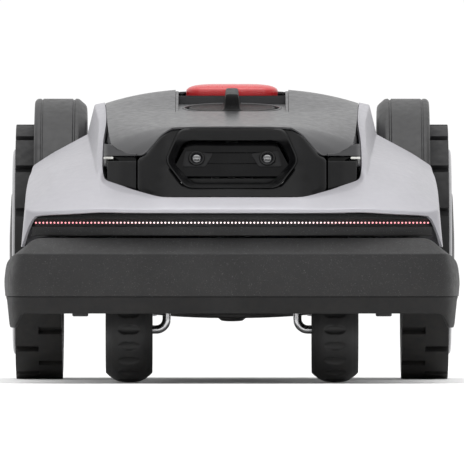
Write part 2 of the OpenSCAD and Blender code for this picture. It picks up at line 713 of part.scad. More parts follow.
module caster_fork(side) {
    leg = [rod_x, caster_axle_y];
    over = [leg[0] - swivel[0], leg[1] - swivel[1]];
    color("silver") on_side(side) {
        translate([swivel[0], swivel[1], rod_over_z]) {
            cylinder(h = 44, r = rod_r);
            sphere(r = rod_r + 0.25);
            rotate([0, 90, atan2(over[1], over[0])]) cylinder(h = norm(over), r = rod_r);
        }
        translate([leg[0], leg[1], rod_over_z]) sphere(r = rod_r + 0.25);
        translate([leg[0], leg[1], caster_r + bend_r]) cylinder(h = rod_over_z - caster_r - bend_r, r = rod_r);
        translate([leg[0] + bend_r, leg[1], caster_r + bend_r]) rotate([90, 0, 0])
            rotate([0, 0, 180]) rotate_extrude(angle = 90) translate([bend_r, 0]) circle(r = rod_r);
        translate([0, leg[1], caster_r]) along_x(leg[0] + bend_r - eps, swivel[0] + 12, rod_r);
    }
}

module caster_tyre(side) {
    half = caster_w / 2;
    color([0.1, 0.1, 0.1]) on_side(side) translate([swivel[0], caster_axle_y, caster_r])
        rotate([0, 90, 0]) rotate_extrude($fn = 72) polygon(concat(
            [for (i = [-6:6]) let (x = i * half / 6) [caster_r - 11 * pow(abs(x) / half, 2.2), x]],
            [[30, half], [28, half - 3], [28, -half + 3], [30, -half]]));
}

module caster_hub(side) {
    half = caster_w / 2;
    color([0.25, 0.25, 0.26]) on_side(side) translate([swivel[0], caster_axle_y, caster_r])
        rotate([0, 90, 0]) difference() {
            translate([0, 0, -half + 3.2]) cylinder(h = caster_w - 6.4, r = 27.95);
            translate([0, 0, -half - 1]) cylinder(h = half + 15, r = rod_r + running);
        }
}

// ---------- drive wheels ----------

// Half of the tread: a disc with gaps between its lugs, phase being the angle of its first gap
module lug_row(x, phase) {
    reach = wheel_r + 10;
    foot = wheel_r - lug_h;
    translate([x, 0, 0]) rotate([90, 0, 90]) linear_extrude(tread_w / 2) difference() {
        circle(r = wheel_r, $fn = 96);
        for (i = [0:lug_count - 1]) rotate(phase + i * lug_pitch)
            polygon([[foot, -foot * tan(lug_gap_deg / 2)], [reach, -reach * tan(lug_gap_deg / 2)],
                     [reach, reach * tan(lug_gap_deg / 2)], [foot, foot * tan(lug_gap_deg / 2)]]);
    }
}

module drive_tyre(side) {
    middle = wheel_inner_x + tread_w / 2;
    color([0.1, 0.1, 0.1]) on_side(side) at_wheel() difference() {
        union() {
            lug_row(middle, 180 - first_gap);
            lug_row(wheel_inner_x, 180 - first_gap + lug_pitch / 2);
        }
        along_x(wheel_inner_x - 1, wheel_outer_x + 1, rim_r);
    }
}

module wheel_disc(side) {
    seat = rim_r - 0.05;
    bore = axle_r + 0.02;
    color([0.55, 0.55, 0.56]) on_side(side) at_wheel() rotate([0, 90, 0])
        rotate_extrude($fn = 96) polygon([[bore, 188], [24, 188], [24, 198], [90, 182], [90, 166], [seat, 166],
            [seat, 209.5], [95, 211.6], [64, 211.6], [59.3, 209], [59.3, 206], [bore, 206]]);
}

module hub_cap(side) {
    color([0.13, 0.13, 0.14]) on_side(side) at_wheel() rotate([0, 90, 0])
        rotate_extrude($fn = 96) polygon([[0, 206.1], [59, 206.1], [59, 211], [52, 213.2], [34, 214.6],
            [0, half_w]]);
}

module wheel_axle(side) {
    color("gray") on_side(side) at_wheel() along_x(118, 206, axle_r);
}

chassis_pan();
top_cover();
hood();
control_tray();
nose_panel();
corner_panels();
camera_bezel();
camera_window();
camera_ramp();
camera_lenses();
camera_board();
light_bar_housing();
light_bar_strip();
light_board();
fender(1);  // fender_left
fender(-1);  // fender_right
tail_panel();
charge_contacts();
battery_pack();
battery_door();
underside_screws();
main_board();
wiring();
drive_motors();
caster_bushes();
guide_rods();
lift_frame();
stop_switch();
stop_spring();
bumper_buffers();
bumper_shell();
bumper_skirt();
bumper_pins();
stop_button();
stop_stem();
knob_dial();
knob_grip();
knob_drum();
deck_carriage();
deck_arm();
blade_motor();
blade_disc();
blade_screws();
blade(0);  // blade_1
blade(1);  // blade_2
blade(2);  // blade_3
caster_fork(1);  // caster_fork_left
caster_fork(-1);  // caster_fork_right
caster_tyre(1);  // caster_tyre_left
caster_tyre(-1);  // caster_tyre_right
caster_hub(1);  // caster_hub_left
caster_hub(-1);  // caster_hub_right
drive_tyre(1);  // drive_tyre_left
drive_tyre(-1);  // drive_tyre_right
wheel_disc(1);  // wheel_disc_left
wheel_disc(-1);  // wheel_disc_right
hub_cap(1);  // hub_cap_left
hub_cap(-1);  // hub_cap_right
wheel_axle(1);  // wheel_axle_left
wheel_axle(-1);  // wheel_axle_right
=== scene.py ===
import json
import math

import bpy
import numpy as np
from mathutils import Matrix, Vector


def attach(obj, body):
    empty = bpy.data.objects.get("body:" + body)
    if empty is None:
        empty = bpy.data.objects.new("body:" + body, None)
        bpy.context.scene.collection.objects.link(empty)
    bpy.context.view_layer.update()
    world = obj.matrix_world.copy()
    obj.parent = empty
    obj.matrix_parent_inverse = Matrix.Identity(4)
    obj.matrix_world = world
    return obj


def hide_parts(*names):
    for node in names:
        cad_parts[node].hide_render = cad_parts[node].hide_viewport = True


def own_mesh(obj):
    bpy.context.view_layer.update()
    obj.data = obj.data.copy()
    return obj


MM = 0.001
LEFT, RIGHT = 1, -1                      # the machine's own sides: left is +X
SIDES = {"left": LEFT, "right": RIGHT}

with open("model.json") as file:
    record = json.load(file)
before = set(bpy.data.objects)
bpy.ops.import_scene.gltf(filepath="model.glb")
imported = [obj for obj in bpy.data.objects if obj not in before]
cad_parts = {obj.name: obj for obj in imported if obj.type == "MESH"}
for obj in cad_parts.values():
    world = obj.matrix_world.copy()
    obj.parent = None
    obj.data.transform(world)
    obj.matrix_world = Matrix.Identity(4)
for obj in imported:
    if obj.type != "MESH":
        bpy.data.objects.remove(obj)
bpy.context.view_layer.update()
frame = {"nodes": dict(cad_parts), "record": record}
nodes = frame["nodes"]


# ---------- geometry helpers, all in millimetres ----------

def pchip(t, values, where):
    """Smooth interpolation through values at t without overshoot."""
    t, values, where = (np.asarray(a, float) for a in (t, values, where))
    step = np.diff(t)[:, None]
    slope = np.diff(values, axis=0) / step
    tangent = np.zeros_like(values)
    before, after = slope[:-1], slope[1:]
    same = before * after > 0
    w1 = 2 * step[1:] + step[:-1]
    w2 = step[1:] + 2 * step[:-1]
    with np.errstate(divide="ignore", invalid="ignore"):
        mean = (w1 + w2) / (w1 / before + w2 / after)
    tangent[1:-1] = np.where(same, mean, 0)
    tangent[0], tangent[-1] = slope[0], slope[-1]
    i = np.clip(np.searchsorted(t, where, side="right") - 1, 0, len(t) - 2)
    h = (t[i + 1] - t[i])[:, None]
    s = ((where - t[i])[:, None]) / h
    return ((2 * s**3 - 3 * s**2 + 1) * values[i] + (s**3 - 2 * s**2 + s) * h * tangent[i]
            + (3 * s**2 - 2 * s**3) * values[i + 1] + (s**3 - s**2) * h * tangent[i + 1])


def stations(rows, per):
    """More rows between the given ones, on smooth lines from row to row."""
    grid = np.asarray(rows, float)
    n, m, _ = grid.shape
    chord = np.linalg.norm(np.diff(grid, axis=0), axis=2).mean(axis=1)
    t = np.concatenate([[0], np.cumsum(chord)])
    between = [np.linspace(t[i], t[i + 1], per, endpoint=False) for i in range(n - 1)]
    where = np.concatenate(between + [[t[-1]]])
    return pchip(t, grid.reshape(n, m * 3), where).reshape(-1, m, 3)


def rounded(points, setback, steps=4, closed=False):
    """Polyline with its corners rounded; setback is how far before each corner the curve starts."""
    p = np.asarray(points, float)
    n = len(p)
    reach = setback if hasattr(setback, "__len__") else [setback] * n
    out = [] if closed else [p[0]]
    for i in range(0 if closed else 1, n if closed else n - 1):
        a, b, c = p[i - 1], p[i], p[(i + 1) % n]
        la, lc = np.linalg.norm(a - b), np.linalg.norm(c - b)
        d = min(reach[i], 0.48 * la, 0.48 * lc)
        start, end = b + (a - b) * d / max(la, 1e-9), b + (c - b) * d / max(lc, 1e-9)
        for s in np.linspace(0, 1, steps + 1):
            out.append((1 - s)**2 * start + 2 * s * (1 - s) * b + s**2 * end)
    if not closed:
        out.append(p[-1])
    return np.array(out)


def even(loop, n):
    """n points evenly spaced along a closed loop."""
    p = np.vstack([loop, loop[:1]])
    t = np.concatenate([[0], np.cumsum(np.linalg.norm(np.diff(p, axis=0), axis=1))])
    where = np.linspace(0, t[-1], n, endpoint=False)
    return np.stack([np.interp(where, t, p[:, k]) for k in range(p.shape[1])], axis=1)


def grid_faces(n, m, wrap_n=False, wrap_m=False):
    """Quads over an n by m grid of points."""
    return [(i * m + j, ((i + 1) % n) * m + j, ((i + 1) % n) * m + (j + 1) % m, i * m + (j + 1) % m)
            for i in range(n if wrap_n else n - 1) for j in range(m if wrap_m else m - 1)]


def mirrored(rows):
    """Rows of the left half with their mirror images in front of them."""
    left = np.asarray(rows, float)
    right = left[:0:-1] * [-1, 1, 1]
    return np.concatenate([right, left])


def rounded_rect(w, d, r, n=12):
    """Closed outline [x, y] of a rounded rectangle."""
    out = []
    for k, (sx, sy) in enumerate([(1, 1), (-1, 1), (-1, -1), (1, -1)]):
        for a in np.linspace(k * 90, k * 90 + 90, n):
            out.append([sx * (w / 2 - r) + r * math.cos(math.radians(a)),
                        sy * (d / 2 - r) + r * math.sin(math.radians(a))])
    return np.array(out)


def add_piece(name, verts, faces, body, look, slot, replaces=(), inside=None, wall=0, bevel=0, sharp=32):
    """A mesh piece that rides on a body. With inside given, its faces turn away from that point."""
    mesh = bpy.data.meshes.new(name)
    mesh.from_pydata([tuple(v) for v in np.asarray(verts, float) * MM], [], [tuple(f) for f in faces])
    mesh.validate()
    if inside is not None:
        centre = Vector(inside) * MM
        lean = sum((p.center - centre).dot(p.normal) * p.area for p in mesh.polygons)
        if lean < 0:
            mesh.flip_normals()
    mesh.polygons.foreach_set("use_smooth", [True] * len(mesh.polygons))
    mesh.update()
    mesh.set_sharp_from_angle(angle=math.radians(sharp))
    mesh.materials.append(look)
    obj = bpy.data.objects.new(name, mesh)
    bpy.context.scene.collection.objects.link(obj)
    if wall:
        solid = obj.modifiers.new("wall", "SOLIDIFY")
        solid.thickness = wall * MM
        solid.offset = -1
        solid.use_even_offset = True
    if bevel:
        add_bevel(obj, bevel)
    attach(obj, body)
    if replaces:
        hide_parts(*replaces)
    return obj


def add_bevel(obj, width, segments=2):
    """Rounded sharp edges with flat faces kept flat; width is in millimetres."""
    bevel = obj.modifiers.new("edges", "BEVEL")
    bevel.width = width * MM
    bevel.segments = segments
    bevel.limit_method = "ANGLE"
    bevel.angle_limit = math.radians(32)
    bevel.use_clamp_overlap = True
    smooth = obj.modifiers.new("normals", "WEIGHTED_NORMAL")
    smooth.keep_sharp = True


def sheet(name, rows, body, look, slot, **options):
    """An open surface through rows of points."""
    rows = np.asarray(rows, float)
    n, m, _ = rows.shape
    return add_piece(name, rows.reshape(-1, 3), grid_faces(n, m), body, look, slot, **options)


def tube(name, loops, body, look, slot, caps=(True, True), **options):
    """Closed loops joined in order, with flat caps on the ends that want them."""
    loops = np.asarray(loops, float)
    n, m, _ = loops.shape
    faces = grid_faces(n, m, wrap_m=True)
    if caps[0]:
        faces.append(tuple(range(m)))
    if caps[1]:
        faces.append(tuple((n - 1) * m + j for j in reversed(range(m))))
    return add_piece(name, loops.reshape(-1, 3), faces, body, look, slot, **options)


def slab(w, d, r, levels, centre, n=14):
    """Loops of a rounded slab; each level is [how far the outline draws in, height]."""
    out = []
    for inset, z in levels:
        width, depth = w - 2 * inset, d - 2 * inset
        radius = min(max(2, r - inset * 0.7), min(width, depth) / 2 - 0.05)
        loop = rounded_rect(width, depth, radius, n)
        out.append(np.column_stack([loop + np.array(centre), np.full(len(loop), z)]))
    return np.array(out)


def lathe(profile, about, axis="z", count=96):
    """Loops of a profile of [radius, height] turned about an axis through a point."""
    out = []
    for r, h in profile:
        ring = []
        for a in np.linspace(0, 2 * math.pi, count, endpoint=False):
            c, s = r * math.cos(a), r * math.sin(a)
            ring.append({"z": [c, s, h], "x": [h, c, s], "y": [s, h, c]}[axis])
        out.append(ring)
    return np.array(out) + np.asarray(about, float)


def joined(parts):
    """One set of vertices and faces from several."""
    verts, faces = [], []
    for v, f in parts:
        base = len(verts)
        verts.extend(list(v))
        faces.extend([tuple(i + base for i in face) for face in f])
    return np.array(verts), faces


# ---------- materials ----------

def srgb(*rgb):
    """Linear colour of an sRGB colour given from 0 to 255."""
    return tuple((c / 255 / 12.92 if c <= 10 else ((c / 255 + 0.055) / 1.055)**2.4) for c in rgb) + (1.0,)


def surface(name, colour, rough, metallic=0.0, grain=900.0, bump=0.05, spread=0.05, tint=0.06, dust=0.0,
            specular=0.5, coat=0.0, stretch=(1, 1, 1), speckle=0.0):
    """Material with fine bump, uneven roughness and colour, and dust that gathers towards the ground."""
    mat = bpy.data.materials.new(name)
    mat.use_nodes = True
    tree = mat.node_tree
    shader = tree.nodes["Principled BSDF"]
    shader.inputs["Metallic"].default_value = metallic
    shader.inputs["Specular IOR Level"].default_value = specular
    shader.inputs["Coat Weight"].default_value = coat
    shader.inputs["Coat Roughness"].default_value = 0.08

    def node(kind, **values):
        made = tree.nodes.new(kind)
        for key, value in values.items():
            setattr(made, key, value)
        return made

    def link(source, target):
        tree.links.new(source, target)

    def noise(scale, detail=3.0):
        made = node("ShaderNodeTexNoise")
        made.inputs["Scale"].default_value = scale
        made.inputs["Detail"].default_value = detail
        link(place.outputs["Vector"], made.inputs["Vector"])
        return made

    def spread_of(source, low, high, from_low=0.3, from_high=0.7):
        made = node("ShaderNodeMapRange")
        made.inputs["From Min"].default_value = from_low
        made.inputs["From Max"].default_value = from_high
        made.inputs["To Min"].default_value = low
        made.inputs["To Max"].default_value = high
        link(source, made.inputs["Value"])
        return made.outputs["Result"]

    def mixed(factor, a, b):
        made = node("ShaderNodeMix", data_type="RGBA")
        for socket, value in ((made.inputs["Factor"], factor), (made.inputs[6], a), (made.inputs[7], b)):
            if hasattr(value, "is_output"):
                link(value, socket)
            else:
                socket.default_value = value
        return made.outputs[2]

    coords = node("ShaderNodeTexCoord")
    place = node("ShaderNodeMapping")
    place.inputs["Scale"].default_value = stretch
    link(coords.outputs["Object"], place.inputs["Vector"])
    fine = noise(grain)
    blotch = noise(22.0, 5.0)
    wear = noise(150.0, 6.0)

    light = tuple(min(1.0, c * (1 + tint) + 0.004) for c in colour[:3]) + (1.0,)
    dark = tuple(c * (1 - tint) for c in colour[:3]) + (1.0,)
    base = mixed(spread_of(blotch.outputs["Fac"], 0, 1), dark, light)
    if speckle:
        specks = noise(1500.0, 1.0)
        base = mixed(spread_of(specks.outputs["Fac"], 0, speckle, 0.70, 0.74), base, srgb(150, 150, 150))
    if dust:
        height = node("ShaderNodeSeparateXYZ")
        link(coords.outputs["Object"], height.inputs["Vector"])
        low = spread_of(height.outputs["Z"], dust, 0, 0.0, 0.17)
        patch = node("ShaderNodeMath", operation="MULTIPLY")
        link(low, patch.inputs[0])
        link(spread_of(wear.outputs["Fac"], 0.2, 1.0, 0.35, 0.65), patch.inputs[1])
        base = mixed(patch.outputs["Value"], base, srgb(128, 122, 112))
    link(base, shader.inputs["Base Color"])
    link(spread_of(wear.outputs["Fac"], max(0.03, rough - spread), min(1, rough + spread)),
         shader.inputs["Roughness"])
    relief = node("ShaderNodeBump")
    relief.inputs["Strength"].default_value = bump
    relief.inputs["Distance"].default_value = 0.0004
    link(fine.outputs["Fac"], relief.inputs["Height"])
    link(relief.outputs["Normal"], shader.inputs["Normal"])
    return mat


LOOKS = {
    "cover_plastic": surface("cover_plastic", srgb(152, 151, 156), 0.4, grain=1600, bump=0.12, spread=0.05,
                             tint=0.02, dust=0.04, metallic=0.3),
    "hood_plastic": surface("hood_plastic", srgb(46, 46, 48), 0.34, grain=1500, bump=0.1, tint=0.03,
                            specular=0.45),
    "fascia_gloss": surface("fascia_gloss", srgb(5, 5, 6), 0.24, grain=500, bump=0.01, spread=0.03,
                            tint=0.1, specular=0.2),
    "bumper_plastic": surface("bumper_plastic", srgb(29, 29, 30), 0.58, grain=1300, bump=0.28, spread=0.07,
                              tint=0.05, dust=0.05, specular=0.3, speckle=0.35),
    "skirt_plastic": surface("skirt_plastic", srgb(22, 22, 23), 0.66, grain=1100, bump=0.3, spread=0.06,
                             dust=0.05, specular=0.22),
    "fender_plastic": surface("fender_plastic", srgb(28, 28, 29), 0.46, grain=1400, bump=0.2, spread=0.06,
                              dust=0.03, specular=0.35),
    "chassis_plastic": surface("chassis_plastic", srgb(26, 26, 27), 0.62, grain=1200, bump=0.25, dust=0.08,
                               specular=0.25),
    "lens_glass": surface("lens_glass", srgb(9, 10, 16), 0.05, grain=300, bump=0.0, spread=0.02, tint=0.15,
                          coat=1.0, specular=1.0),
    # window_dark is near-black; the slot backs and the walls of the gap beside the hood use it as painted shade
    "window_dark": surface("window_dark", srgb(2, 2, 3), 0.16, grain=400, bump=0.01, spread=0.02,
                           tint=0.1, specular=0.12),
    "light_red": surface("light_red", srgb(84, 8, 12), 0.3, grain=800, bump=0.03, tint=0.1),
    "circuit_board": surface("circuit_board", srgb(20, 70, 40), 0.35, grain=700, bump=0.15, tint=0.12),
    "contact_brass": surface("contact_brass", (0.75, 0.6, 0.3, 1), 0.28, metallic=1.0, grain=900, bump=0.08,
                             stretch=(1, 1, 8)),
    "battery_case": surface("battery_case", srgb(44, 62, 92), 0.5, grain=1200, bump=0.15),
    "screw_steel": surface("screw_steel", (0.42, 0.42, 0.43, 1), 0.36, metallic=1.0, grain=1500, bump=0.12,
                           tint=0.1),
    "bright_steel": surface("bright_steel", (0.6, 0.6, 0.61, 1), 0.22, metallic=1.0, grain=1200, bump=0.06,
                            tint=0.08, spread=0.08),
    "motor_metal": surface("motor_metal", (0.42, 0.43, 0.45, 1), 0.45, metallic=0.9, grain=700, bump=0.2),
    "bush_brass": surface("bush_brass", (0.5, 0.38, 0.18, 1), 0.42, metallic=1.0, grain=1500, bump=0.2),
    "button_red": surface("button_red", srgb(178, 34, 38), 0.3, grain=1800, bump=0.06, spread=0.05,
                          tint=0.04, coat=0.2),
    "knob_black": surface("knob_black", srgb(9, 9, 10), 0.5, grain=1700, bump=0.35, spread=0.08,
                          specular=0.14, speckle=0.1),
    "drum_nylon": surface("drum_nylon", srgb(205, 205, 200), 0.5, grain=900, bump=0.06),
    "disc_plastic": surface("disc_plastic", srgb(40, 40, 41), 0.55, grain=1000, bump=0.25, dust=0.15),
    "blade_steel": surface("blade_steel", (0.55, 0.55, 0.56, 1), 0.3, metallic=1.0, grain=700, bump=0.12,
                           stretch=(1, 9, 1), spread=0.1),
    "tread_rubber": surface("tread_rubber", srgb(26, 26, 27), 0.64, grain=800, bump=0.3, spread=0.08,
                            dust=0.08, specular=0.28),
    "caster_rubber": surface("caster_rubber", srgb(27, 27, 28), 0.5, grain=800, bump=0.2, spread=0.08,
                             dust=0.04, specular=0.4),
    "rim_plastic": surface("rim_plastic", srgb(158, 158, 160), 0.42, grain=1400, bump=0.1, dust=0.06),
    "buffer_rubber": surface("buffer_rubber", srgb(24, 24, 25), 0.7, grain=900, bump=0.25),
    "cable_black": surface("cable_black", srgb(22, 22, 23), 0.45, grain=1100, bump=0.15),
}


# Every CAD node that stays takes the look of its material slot, with softened edges
SMALL_NODES = ("underside_screws", "stop_spring", "blade_screws", "blade_1", "blade_2", "blade_3")


# ---------- tables shared with the CAD part ----------

# Top cover, left half. Each row runs rim, pillar ridge, crease, side, shoulder, skirt
COVER = [
    [[0, -288, 174.5], [0, -291, 172.6], [0, -296, 169.4], [0, -301, 166.2], [0, -305.2, 163.2], [0, -306, 160]],
    [[60, -286.5, 174.5], [61, -289.5, 172.6], [61.5, -294.5, 169.4], [62, -299.5, 166.2], [62, -303.8, 163.2],
     [62, -304.6, 160]],
    [[88, -264, 180.4], [91.5, -273, 177], [94, -282, 172.5], [96, -291, 168], [97, -300.3, 163.5],
     [97, -301.2, 160.2]],
    [[104.7, -245.5, 186], [112, -257, 182], [121.4, -273, 174.8], [120, -286, 169.3], [118.9, -296.8, 164],
     [119, -297.6, 160.6]],
    [[120, -225, 192.6], [122.5, -236, 189.3], [124, -250, 184], [138, -270, 174], [152, -285.5, 162.6],
     [152.3, -286.4, 159]],
    [[122.3, -203, 205], [126.6, -208, 200.5], [127.8, -215, 196.5], [158, -243, 180], [183, -267.5, 161.3],
     [184, -268.5, 157]],
    [[122.4, -188, 211.5], [127.8, -189, 207], [129.4, -190, 202.8], [167, -214, 187], [194, -250, 163.5],
     [197.6, -254, 128]],
    [[122, -150, 226], [127, -150, 222], [131, -150, 211], [168, -158, 200], [194.7, -172, 178], [199, -172, 128]],
    [[119.5, -80, 248], [126.5, -80, 244.5], [133.5, -80, 219], [170, -82, 209], [193, -84, 194], [200, -84, 128]],
    [[120.5, -20, 259], [129, -20, 256], [136, -20, 228], [171.5, -20, 214], [191.5, -20, 200], [200, -20, 128]],
    [[122, 30, 266], [131.5, 30, 264], [138.4, 30, 235.6], [173, 30, 217], [190, 30, 205.7], [200, 30, 128]]]
COVER_REAR = [
    [[121.8, 35, 266], [131.3, 35, 263.8], [138.2, 35, 235], [138.6, 35, 215], [139, 35, 200], [139.4, 35, 129]],
    [[121, 120, 261], [130.5, 120, 258.5], [138, 120, 231], [138.5, 120, 214], [139, 120, 196], [139.4, 120, 129]],
    [[119, 200, 250], [128.5, 200, 247], [136.4, 200, 222], [137.2, 200, 206], [138, 200, 190], [138.8, 200, 129]],
    [[112, 255, 231.5], [121, 255, 228], [129, 255, 205], [130, 255, 188], [131, 255, 174], [132, 255, 129.5]],
    [[104, 316, 188], [110, 316, 185], [115, 316, 171], [116, 316, 160], [117, 316, 150], [118.5, 316, 131]]]

# Bumper, left half: foot, widest line, crease and top edge of the shell
BUMPER = [
    [[0, -319.7, 81.7], [0, -320, 98], [0, -318.5, 121.5], [0, -297, 136.5]],
    [[60, -318.8, 81.7], [60, -319, 98], [60, -317.5, 121.5], [58, -296, 136.5]],
    [[120, -315.8, 81.7], [120, -316, 98], [119.5, -314.5, 121.5], [115, -293, 136.5]],
    [[165, -311.2, 81.7], [165, -311.5, 98], [164, -310, 121.5], [157, -288.5, 136.5]],
    [[190, -306.2, 81.7], [190, -306.5, 98], [188, -305, 121.5], [180, -284.5, 136.5]],
    [[199, -300.5, 81.7], [199.3, -301, 98], [196.5, -299.5, 121.5], [186.5, -281, 134.5]],
    [[205, -291.5, 81.7], [205.5, -292, 98], [201.5, -291, 121.3], [193.5, -277, 129]],
    [[208.5, -279, 81.7], [209, -279, 98], [204.5, -279, 120.5], [200.5, -270, 123.5]],
    [[211.5, -255, 81.7], [212.3, -255, 98], [208.5, -255, 117.5], [204.5, -253, 119]],
    [[213, -225, 81.7], [214, -225, 97], [212, -225, 112.5], [208.5, -225, 113.8]],
    [[213.8, -190, 81.7], [215, -190, 95], [213.6, -190, 106], [210.5, -190, 107]],
    [[213.5, -156, 81.7], [214.6, -156, 92], [213.8, -156, 99], [211, -156, 100]]]
SKIRT_FOOT = [65.5, 65.5, 65.5, 65.5, 65.5, 65.5, 58, 52, 52, 52, 52, 54]

# Hood: an edge line on each side and a centre line, as [y, x, z] and [y, z]
HOOD_EDGE = [[-258.6, 55.4, 240.2], [-258, 56, 240], [-252, 66, 234], [-243, 86, 214], [-232, 101, 217],
             [-215, 113.5, 225], [-150, 117.5, 242], [-60, 119.5, 256], [45, 121, 265.5], [200, 118, 249.5],
             [255, 111, 231], [316, 103.4, 188]]
HOOD_CENTRE = [[-258.6, 241.1], [-258, 241.2], [-180, 247], [-76, 257], [-30, 265.5], [10, 274], [50, 280],
               [120, 275.5], [200, 258], [255, 237], [316, 193]]
POCKET_X = 54
POCKET_Y = (-78, 92)

WHEEL_Y, WHEEL_R = 185, 123
SWIVEL = (97, -215)
CASTER_TRAIL = 25
CASTER_R = 50
DECK_TILT = math.radians(6)
DECK_Y, DECK_Z = -10, 71                 # where the leaning deck frame starts
BUTTON_Y = 52
FASCIA_Y, FASCIA_Z = -287.5, 174.5       # foot of the fascia on the centre line
FASCIA_LEAN = math.tan(math.radians(24))


def in_deck(points):
    """Points of the leaning deck frame, in the frame of the whole machine."""
    p = np.asarray(points, float)
    c, s = math.cos(DECK_TILT), math.sin(DECK_TILT)
    y = DECK_Y + p[..., 1] * c - p[..., 2] * s
    z = DECK_Z + p[..., 1] * s + p[..., 2] * c
    return np.stack([p[..., 0], y, z], axis=-1)


def fascia_y(x, z):
    """Depth of the leaning, swept fascia at half width x and height z."""
    sweep = np.interp(np.abs(x), [0, 40, 62, 75, 90, 105, 120, 122], [0, 0.5, 3, 11.5, 23, 38, 55, 68])
    return FASCIA_Y + (z - FASCIA_Z) * FASCIA_LEAN + sweep


# ---------- top cover ----------

def cover_rows(rows, setback):
    """Rows of the cover with their creases rounded."""
    return np.array([rounded(r, setback, steps=4) for r in rows])


sheet("cover_shell", cover_rows(stations(mirrored(COVER + COVER_REAR), 5), [0, 1.6, 1.2, 7, 2.0, 0]),
      "chassis", LOOKS["cover_plastic"], "cover_plastic", replaces=("top_cover",), inside=(0, 0, 120),
      wall=2.4, bevel=0.5)


# ---------- hood ----------

def hood_rows():
    """Where the hood's rows lie along the machine, and the rows themselves."""
    edge, centre = np.array(HOOD_EDGE, float), np.array(HOOD_CENTRE, float)
    ys = np.unique(np.concatenate([np.linspace(-258.6, -232, 22), np.linspace(-232, 316, 74), POCKET_Y]))
    edges = pchip(edge[:, 0], edge[:, 1:], ys)
    tops = pchip(centre[:, 0], centre[:, 1:], ys)[:, 0]
    rows = []
    for y, (ex, ez), top in zip(ys, edges, tops):
        split = POCKET_X / ex
        right = np.linspace(split, 1, 12)
        s = np.concatenate([-right[::-1], np.linspace(-split, split, 19)[1:-1], right])
        rows.append(np.stack([s * ex, np.full_like(s, y), top - (top - ez) * np.abs(s)**2.75], axis=1))
    return ys, np.array(rows)


hood_ys, hood_grid = hood_rows()
rows_n, cols_n, _ = hood_grid.shape
hood_faces = []
for quad in grid_faces(rows_n, cols_n):
    mid = hood_grid.reshape(-1, 3)[list(quad)].mean(axis=0)
    if not (abs(mid[0]) < POCKET_X and POCKET_Y[0] < mid[1] < POCKET_Y[1]):
        hood_faces.append(quad)
add_piece("hood_shell", hood_grid.reshape(-1, 3), hood_faces, "chassis", LOOKS["hood_plastic"], "hood_plastic",
          replaces=("hood",), inside=(0, 0, 150), wall=1.6, bevel=0.5)


# ---------- nose, camera bay ----------

def nose_outline():
    """Closed outline [x, z] of the fascia."""
    left = [[88.6, 181], [74.8, 176.2], [62.6, 175], [0, 175]]
    right = [[-x, z] for x, z in left[2::-1]]
    top = [[-88.6, 211], [-82.2, 212.8], [-66.6, 231.6], [-57.4, 236.6], [-48.4, 238.4], [48.4, 238.4],
           [57.4, 236.6], [66.6, 231.6], [82.2, 212.8], [88.6, 211]]
    return rounded(left + right + top, 2, steps=3, closed=True)


BAY_OUTER = [[50, 239.4], [63, 208.7], [43.9, 183.4], [-43.9, 183.4], [-63, 208.7], [-50, 239.4]]
BAY_INNER = [[38.4, 228.2], [46.8, 225.2], [55.2, 207.8], [36.2, 187], [-36.2, 187], [-55.2, 207.8],
             [-46.8, 225.2], [-38.4, 228.2]]


def angular(loop, n, centre=(0, 209)):
    """Loop resampled at even angles round a centre."""
    p = even(loop, 900)
    angle = np.arctan2(p[:, 1] - centre[1], p[:, 0] - centre[0])
    order = np.argsort(angle)
    a, q = angle[order], p[order]
    a = np.concatenate([a[-1:] - 2 * math.pi, a, a[:1] + 2 * math.pi])
    q = np.vstack([q[-1:], q, q[:1]])
    where = np.linspace(-math.pi, math.pi, n, endpoint=False)
    return np.stack([np.interp(where, a, q[:, k]) for k in range(2)], axis=1)


def on_fascia(loop, depth=0.0):
    """Loop [x, z] laid on the fascia, pushed back by depth."""
    y = fascia_y(loop[:, 0], loop[:, 1]) + depth
    return np.stack([loop[:, 0], y, loop[:, 1]], axis=1)


RING = 220
outer = angular(nose_outline(), RING)
bay_outer = angular(rounded(BAY_OUTER, 7, closed=True), RING)
bay_inner = angular(rounded(BAY_INNER, 5, closed=True), RING)
nose_loops = [on_fascia(outer, 3), on_fascia(outer, 0.6)]
nose_loops += [on_fascia(outer + (bay_outer - outer) * s) for s in (0.02, 0.2, 0.4, 0.6, 0.8, 0.985)]
nose_loops += [on_fascia(bay_outer, 0.6), on_fascia(bay_outer, 3)]
tube("nose_fascia", nose_loops, "chassis", LOOKS["fascia_gloss"], "fascia_gloss", caps=(False, False),
     replaces=("nose_panel",), inside=(0, 0, 200), sharp=50)


def flat_bay(loop, depth):
    """Loop of the bay on its flat leaning plane."""
    y = FASCIA_Y + (loop[:, 1] - FASCIA_Z) * FASCIA_LEAN + depth
    return np.stack([loop[:, 0], y, loop[:, 1]], axis=1)


shrunk = bay_outer + (bay_inner - bay_outer) * 0.012
bay_back = angular(rounded(np.array(BAY_INNER) * [0.985, 1] + [0, -1.5], 5, closed=True), RING)
tube("camera_surround", [flat_bay(shrunk, 9), flat_bay(shrunk, 0.8), flat_bay(shrunk, -0.9),
                         flat_bay(bay_outer + (bay_inner - bay_outer) * 0.05, -1.6),
                         flat_bay(bay_outer + (bay_inner - bay_outer) * 0.2, -1.6),
                         flat_bay(bay_outer + (bay_inner - bay_outer) * 0.9, 5.5),
                         flat_bay(bay_inner, 6.5), flat_bay(bay_back, 16)],
     "chassis", LOOKS["fascia_gloss"], "fascia_gloss", caps=(False, False), replaces=("camera_bezel",),
     inside=(0, 0, 200), sharp=40)


def in_bay(points):
    """Points of the leaning camera bay's own frame, its z pointing out of the bay."""
    p = np.asarray(points, float)
    c, n = math.cos(BAY_TILT), math.sin(BAY_TILT)
    y = BAY_Y + p[..., 1] * c - p[..., 2] * n
    z = BAY_Z + p[..., 1] * n + p[..., 2] * c
    return np.stack([p[..., 0], y, z], axis=-1)


